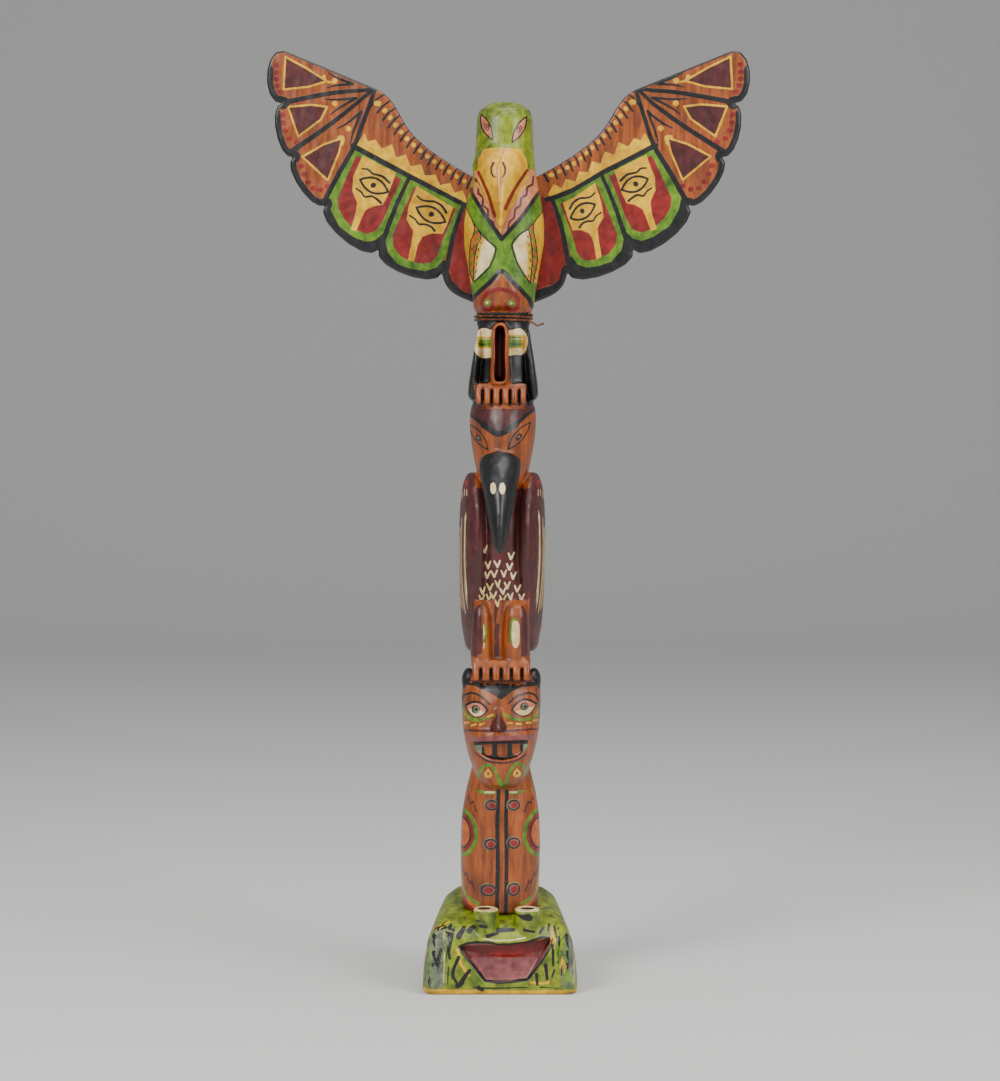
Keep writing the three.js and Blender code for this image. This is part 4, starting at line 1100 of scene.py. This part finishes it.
def makePaintedWood(name, grain=(1.0, 1.0, 0.12)):
    material = bpy.data.materials.new(name)
    material.use_nodes = True
    tree = material.node_tree
    tree.nodes.clear()
    w = Wire(tree)
    place = w.node("TexCoord", None, None, 3)
    stretched = w.node("Mapping", None, {"Vector": place, "Scale": grain})
    streak = w.noise(stretched, 260.0, 4.0, 0.6)
    fine = w.noise(stretched, 1500.0, 3.0, 0.6)
    patch = w.noise(place, 42.0, 3.0, 0.5)
    dabs = w.noise(place, 170.0, 3.0, 0.6)
    wander = (w.noise(place, 420.0, 2.0, 0.5) - 0.5) * finish["edgeWander"] * 2.0
    crumble = (w.noise(place, 1500.0, 2.0, 0.5) - 0.5) * 0.2
    grainMix = (streak * 0.75 + patch * 0.35 + fine * 0.25 - 0.2).rise(0.25, 0.8)
    base = w.mix(grainMix, colour(paints["wood"][0]), colour(paints["wood"][1]))
    covered = None
    for i, layer in enumerate(paintLayers):
        distance = w.attribute(layer) + wander + crumble
        mask = 1.0 - distance.rise(-finish["edgeSoftness"], finish["edgeSoftness"])
        shade = (dabs * 0.7 + patch * 0.55 + streak * 0.25 - 0.27).rise(0.2 + 0.02 * (i % 3), 0.78)
        dark, light = paints[layer]
        base = w.mix(mask, base, w.mix(shade, colour(dark), colour(light)))
        covered = mask if covered is None else w.maths("MAXIMUM", covered, mask)
    hollow = w.attribute("hollow")
    facets = w.node("TexVoronoi", {"feature": "SMOOTH_F1"}, {"Vector": w.node("Mapping", None, {
        "Vector": place, "Scale": (1.0, 1.0, 0.6)}), "Scale": 120.0, "Smoothness": 0.25})
    worn = ((-1.0) * w.attribute("edge") + (dabs - 0.5) * 0.16).rise(finish["wearFrom"],
            finish["wearFrom"] + 0.1)
    base = w.mix(worn * 0.55, base, w.mix(streak, colour("8A5228"), colour("B98247")))
    # Hollows are darkened towards dark brown: grime and painted shade in recesses.
    hollowShadeAndGrime = (hollow + (patch - 0.5) * 0.1).rise(finish["shadeAndGrimeFrom"] - 0.06, finish["shadeAndGrimeFrom"] + 0.16)
    base = w.mix(hollowShadeAndGrime * 0.6, base, colour("1B100A"))
    specks = w.noise(place, 900.0, 1.0, 0.4).rise(0.75, 0.79)
    base = w.mix(specks * covered * 0.35, base, colour("C9B08A"))
    rough = finish["roughness"] + (dabs - 0.5) * 0.22 + (streak - 0.5) * 0.14 + hollowShadeAndGrime * 0.25 + worn * 0.12
    bumped = w.node("Bump", None, {"Strength": 0.8, "Distance": finish["grainBump"], "Height":
                                   streak * 0.6 + fine * 0.25 + dabs * 0.9 + patch * 2.0 + facets * 9.0})
    bumped = w.node("Bump", None, {"Strength": 1.0, "Distance": finish["paintThickness"],
                                   "Height": covered, "Normal": bumped})
    shader = w.node("BsdfPrincipled", None, {"Base Color": base, "Roughness": rough, "Normal": bumped,
                                             "Coat Weight": finish["coat"], "Coat Roughness": 0.22})
    w.node("OutputMaterial", None, {"Surface": shader})
    return material


# Rounds off the flat that closes the top of the bird's head
def roundCrown(points):
    away = np.hypot(points[:, 0] - 3.4, points[:, 1] + 2) / 11
    top = np.clip((points[:, 2] - 627) / 6.6, 0, 1)
    points = points.copy()
    points[:, 2] -= top * np.clip(away, 0, 1.6) ** 2 * 1.5
    return points


# Old brown wire, a little rusty
def makeWire(name):
    material = bpy.data.materials.new(name)
    material.use_nodes = True
    material.node_tree.nodes.clear()
    w = Wire(material.node_tree)
    place = w.node("TexCoord", None, None, 3)
    patch = w.noise(place, 240.0, 4.0, 0.6)
    rust = w.noise(place, 900.0, 3.0, 0.6).rise(0.5, 0.62)
    base = w.mix(patch.rise(0.35, 0.65), colour("3A1C0E"), colour("7A4424"))
    base = w.mix(rust * 0.5, base, colour("8C5A34"))
    bumped = w.node("Bump", None, {"Strength": 0.6, "Distance": 0.0001, "Height": patch + rust * 0.5})
    shader = w.node("BsdfPrincipled", None, {"Base Color": base, "Roughness": 0.45 + rust * 0.25,
                                             "Metallic": 0.35 - rust * 0.3, "Normal": bumped})
    w.node("OutputMaterial", None, {"Surface": shader})
    return material


# Pieces
paintedWood = makePaintedWood("painted_wood")
works = {
    "pole": ("carved_wood", paintPole),
    "left_wing": ("wing_board", paintWing(-1)),
    "right_wing": ("wing_board", paintWing(1)),
    "frog_base": ("frog_block", paintFrog),
}
for node, (slot, paint) in works.items():
    piece, onSurface, shapeValues = carvedFromNode(node, node + "_carved", paint,
                                                   shape=roundCrown if node == "pole" else None)
    points, triangles, layers = refineAndPaint(piece, paint, onSurface)
    finishMesh(piece, points, triangles, layers, shapeValues(points))
    piece.data.materials.clear()
    piece.data.materials.append(paintedWood)
    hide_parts(node)
    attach(piece, "root")

wireLook = makeWire("brown_wire")
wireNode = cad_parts["tie_wire"]
wireNode.data.materials.clear()
wireNode.data.materials.append(wireLook)
for slot in wireNode.material_slots:
    slot.material = wireLook

# Camera, floor and light
camera = bpy.data.cameras.new("camera")
camera.lens, camera.sensor_width, camera.sensor_fit = 100, 36, "HORIZONTAL"
cameraObject = bpy.data.objects.new("camera", camera)
cameraObject.location = (0, -2.0, 0.40)
cameraObject.rotation_euler = (math.radians(87.7), 0, 0)
bpy.context.scene.collection.objects.link(cameraObject)
bpy.context.scene.camera = cameraObject

# The floor curves up into a wall a long way behind.
turns = np.linspace(0, math.pi / 2, 16)
profile = [(-4.0, 0.0)] + [(3.0 + 2.0 * math.sin(t), 2.0 - 2.0 * math.cos(t)) for t in turns]
profile.append((5.0, 7.0))
corners = [(s * 7, y, z) for y, z in profile for s in (-1, 1)]
sweep = bpy.data.meshes.new("floor")
strips = [(2 * i, 2 * i + 1, 2 * i + 3, 2 * i + 2) for i in range(len(profile) - 1)]
sweep.from_pydata(corners, [], strips)
sweep.polygons.foreach_set("use_smooth", np.ones(len(sweep.polygons), bool))
floor = bpy.data.objects.new("floor", sweep)
bpy.context.scene.collection.objects.link(floor)
floorPaint = bpy.data.materials.new("floor")
floorPaint.use_nodes = True
floorShader = floorPaint.node_tree.nodes["Principled BSDF"]
floorShader.inputs["Base Color"].default_value = (0.68, 0.67, 0.65, 1)
floorShader.inputs["Roughness"].default_value = 0.7
sweep.materials.append(floorPaint)

for name, place, aim, size, power in [
    ("key", (-1.2, -1.7, 1.6), (0, 0, 0.35), 0.9, 46),
    ("fill", (1.5, -1.4, 1.2), (0, 0, 0.35), 1.0, 28),
    ("top", (0.3, -0.3, 2.3), (0, 0, 0.4), 1.2, 26),
]:
    light = bpy.data.lights.new(name, "AREA")
    light.size, light.energy = size, power
    lamp = bpy.data.objects.new(name, light)
    lamp.location = place
    lamp.rotation_euler = (Vector(aim) - Vector(place)).to_track_quat("-Z", "Y").to_euler()
    bpy.context.scene.collection.objects.link(lamp)
world = bpy.data.worlds.new("studio")
world.use_nodes = True
world.node_tree.nodes["Background"].inputs[0].default_value = (0.8, 0.82, 0.85, 1)
world.node_tree.nodes["Background"].inputs[1].default_value = 0.42
bpy.context.scene.world = world
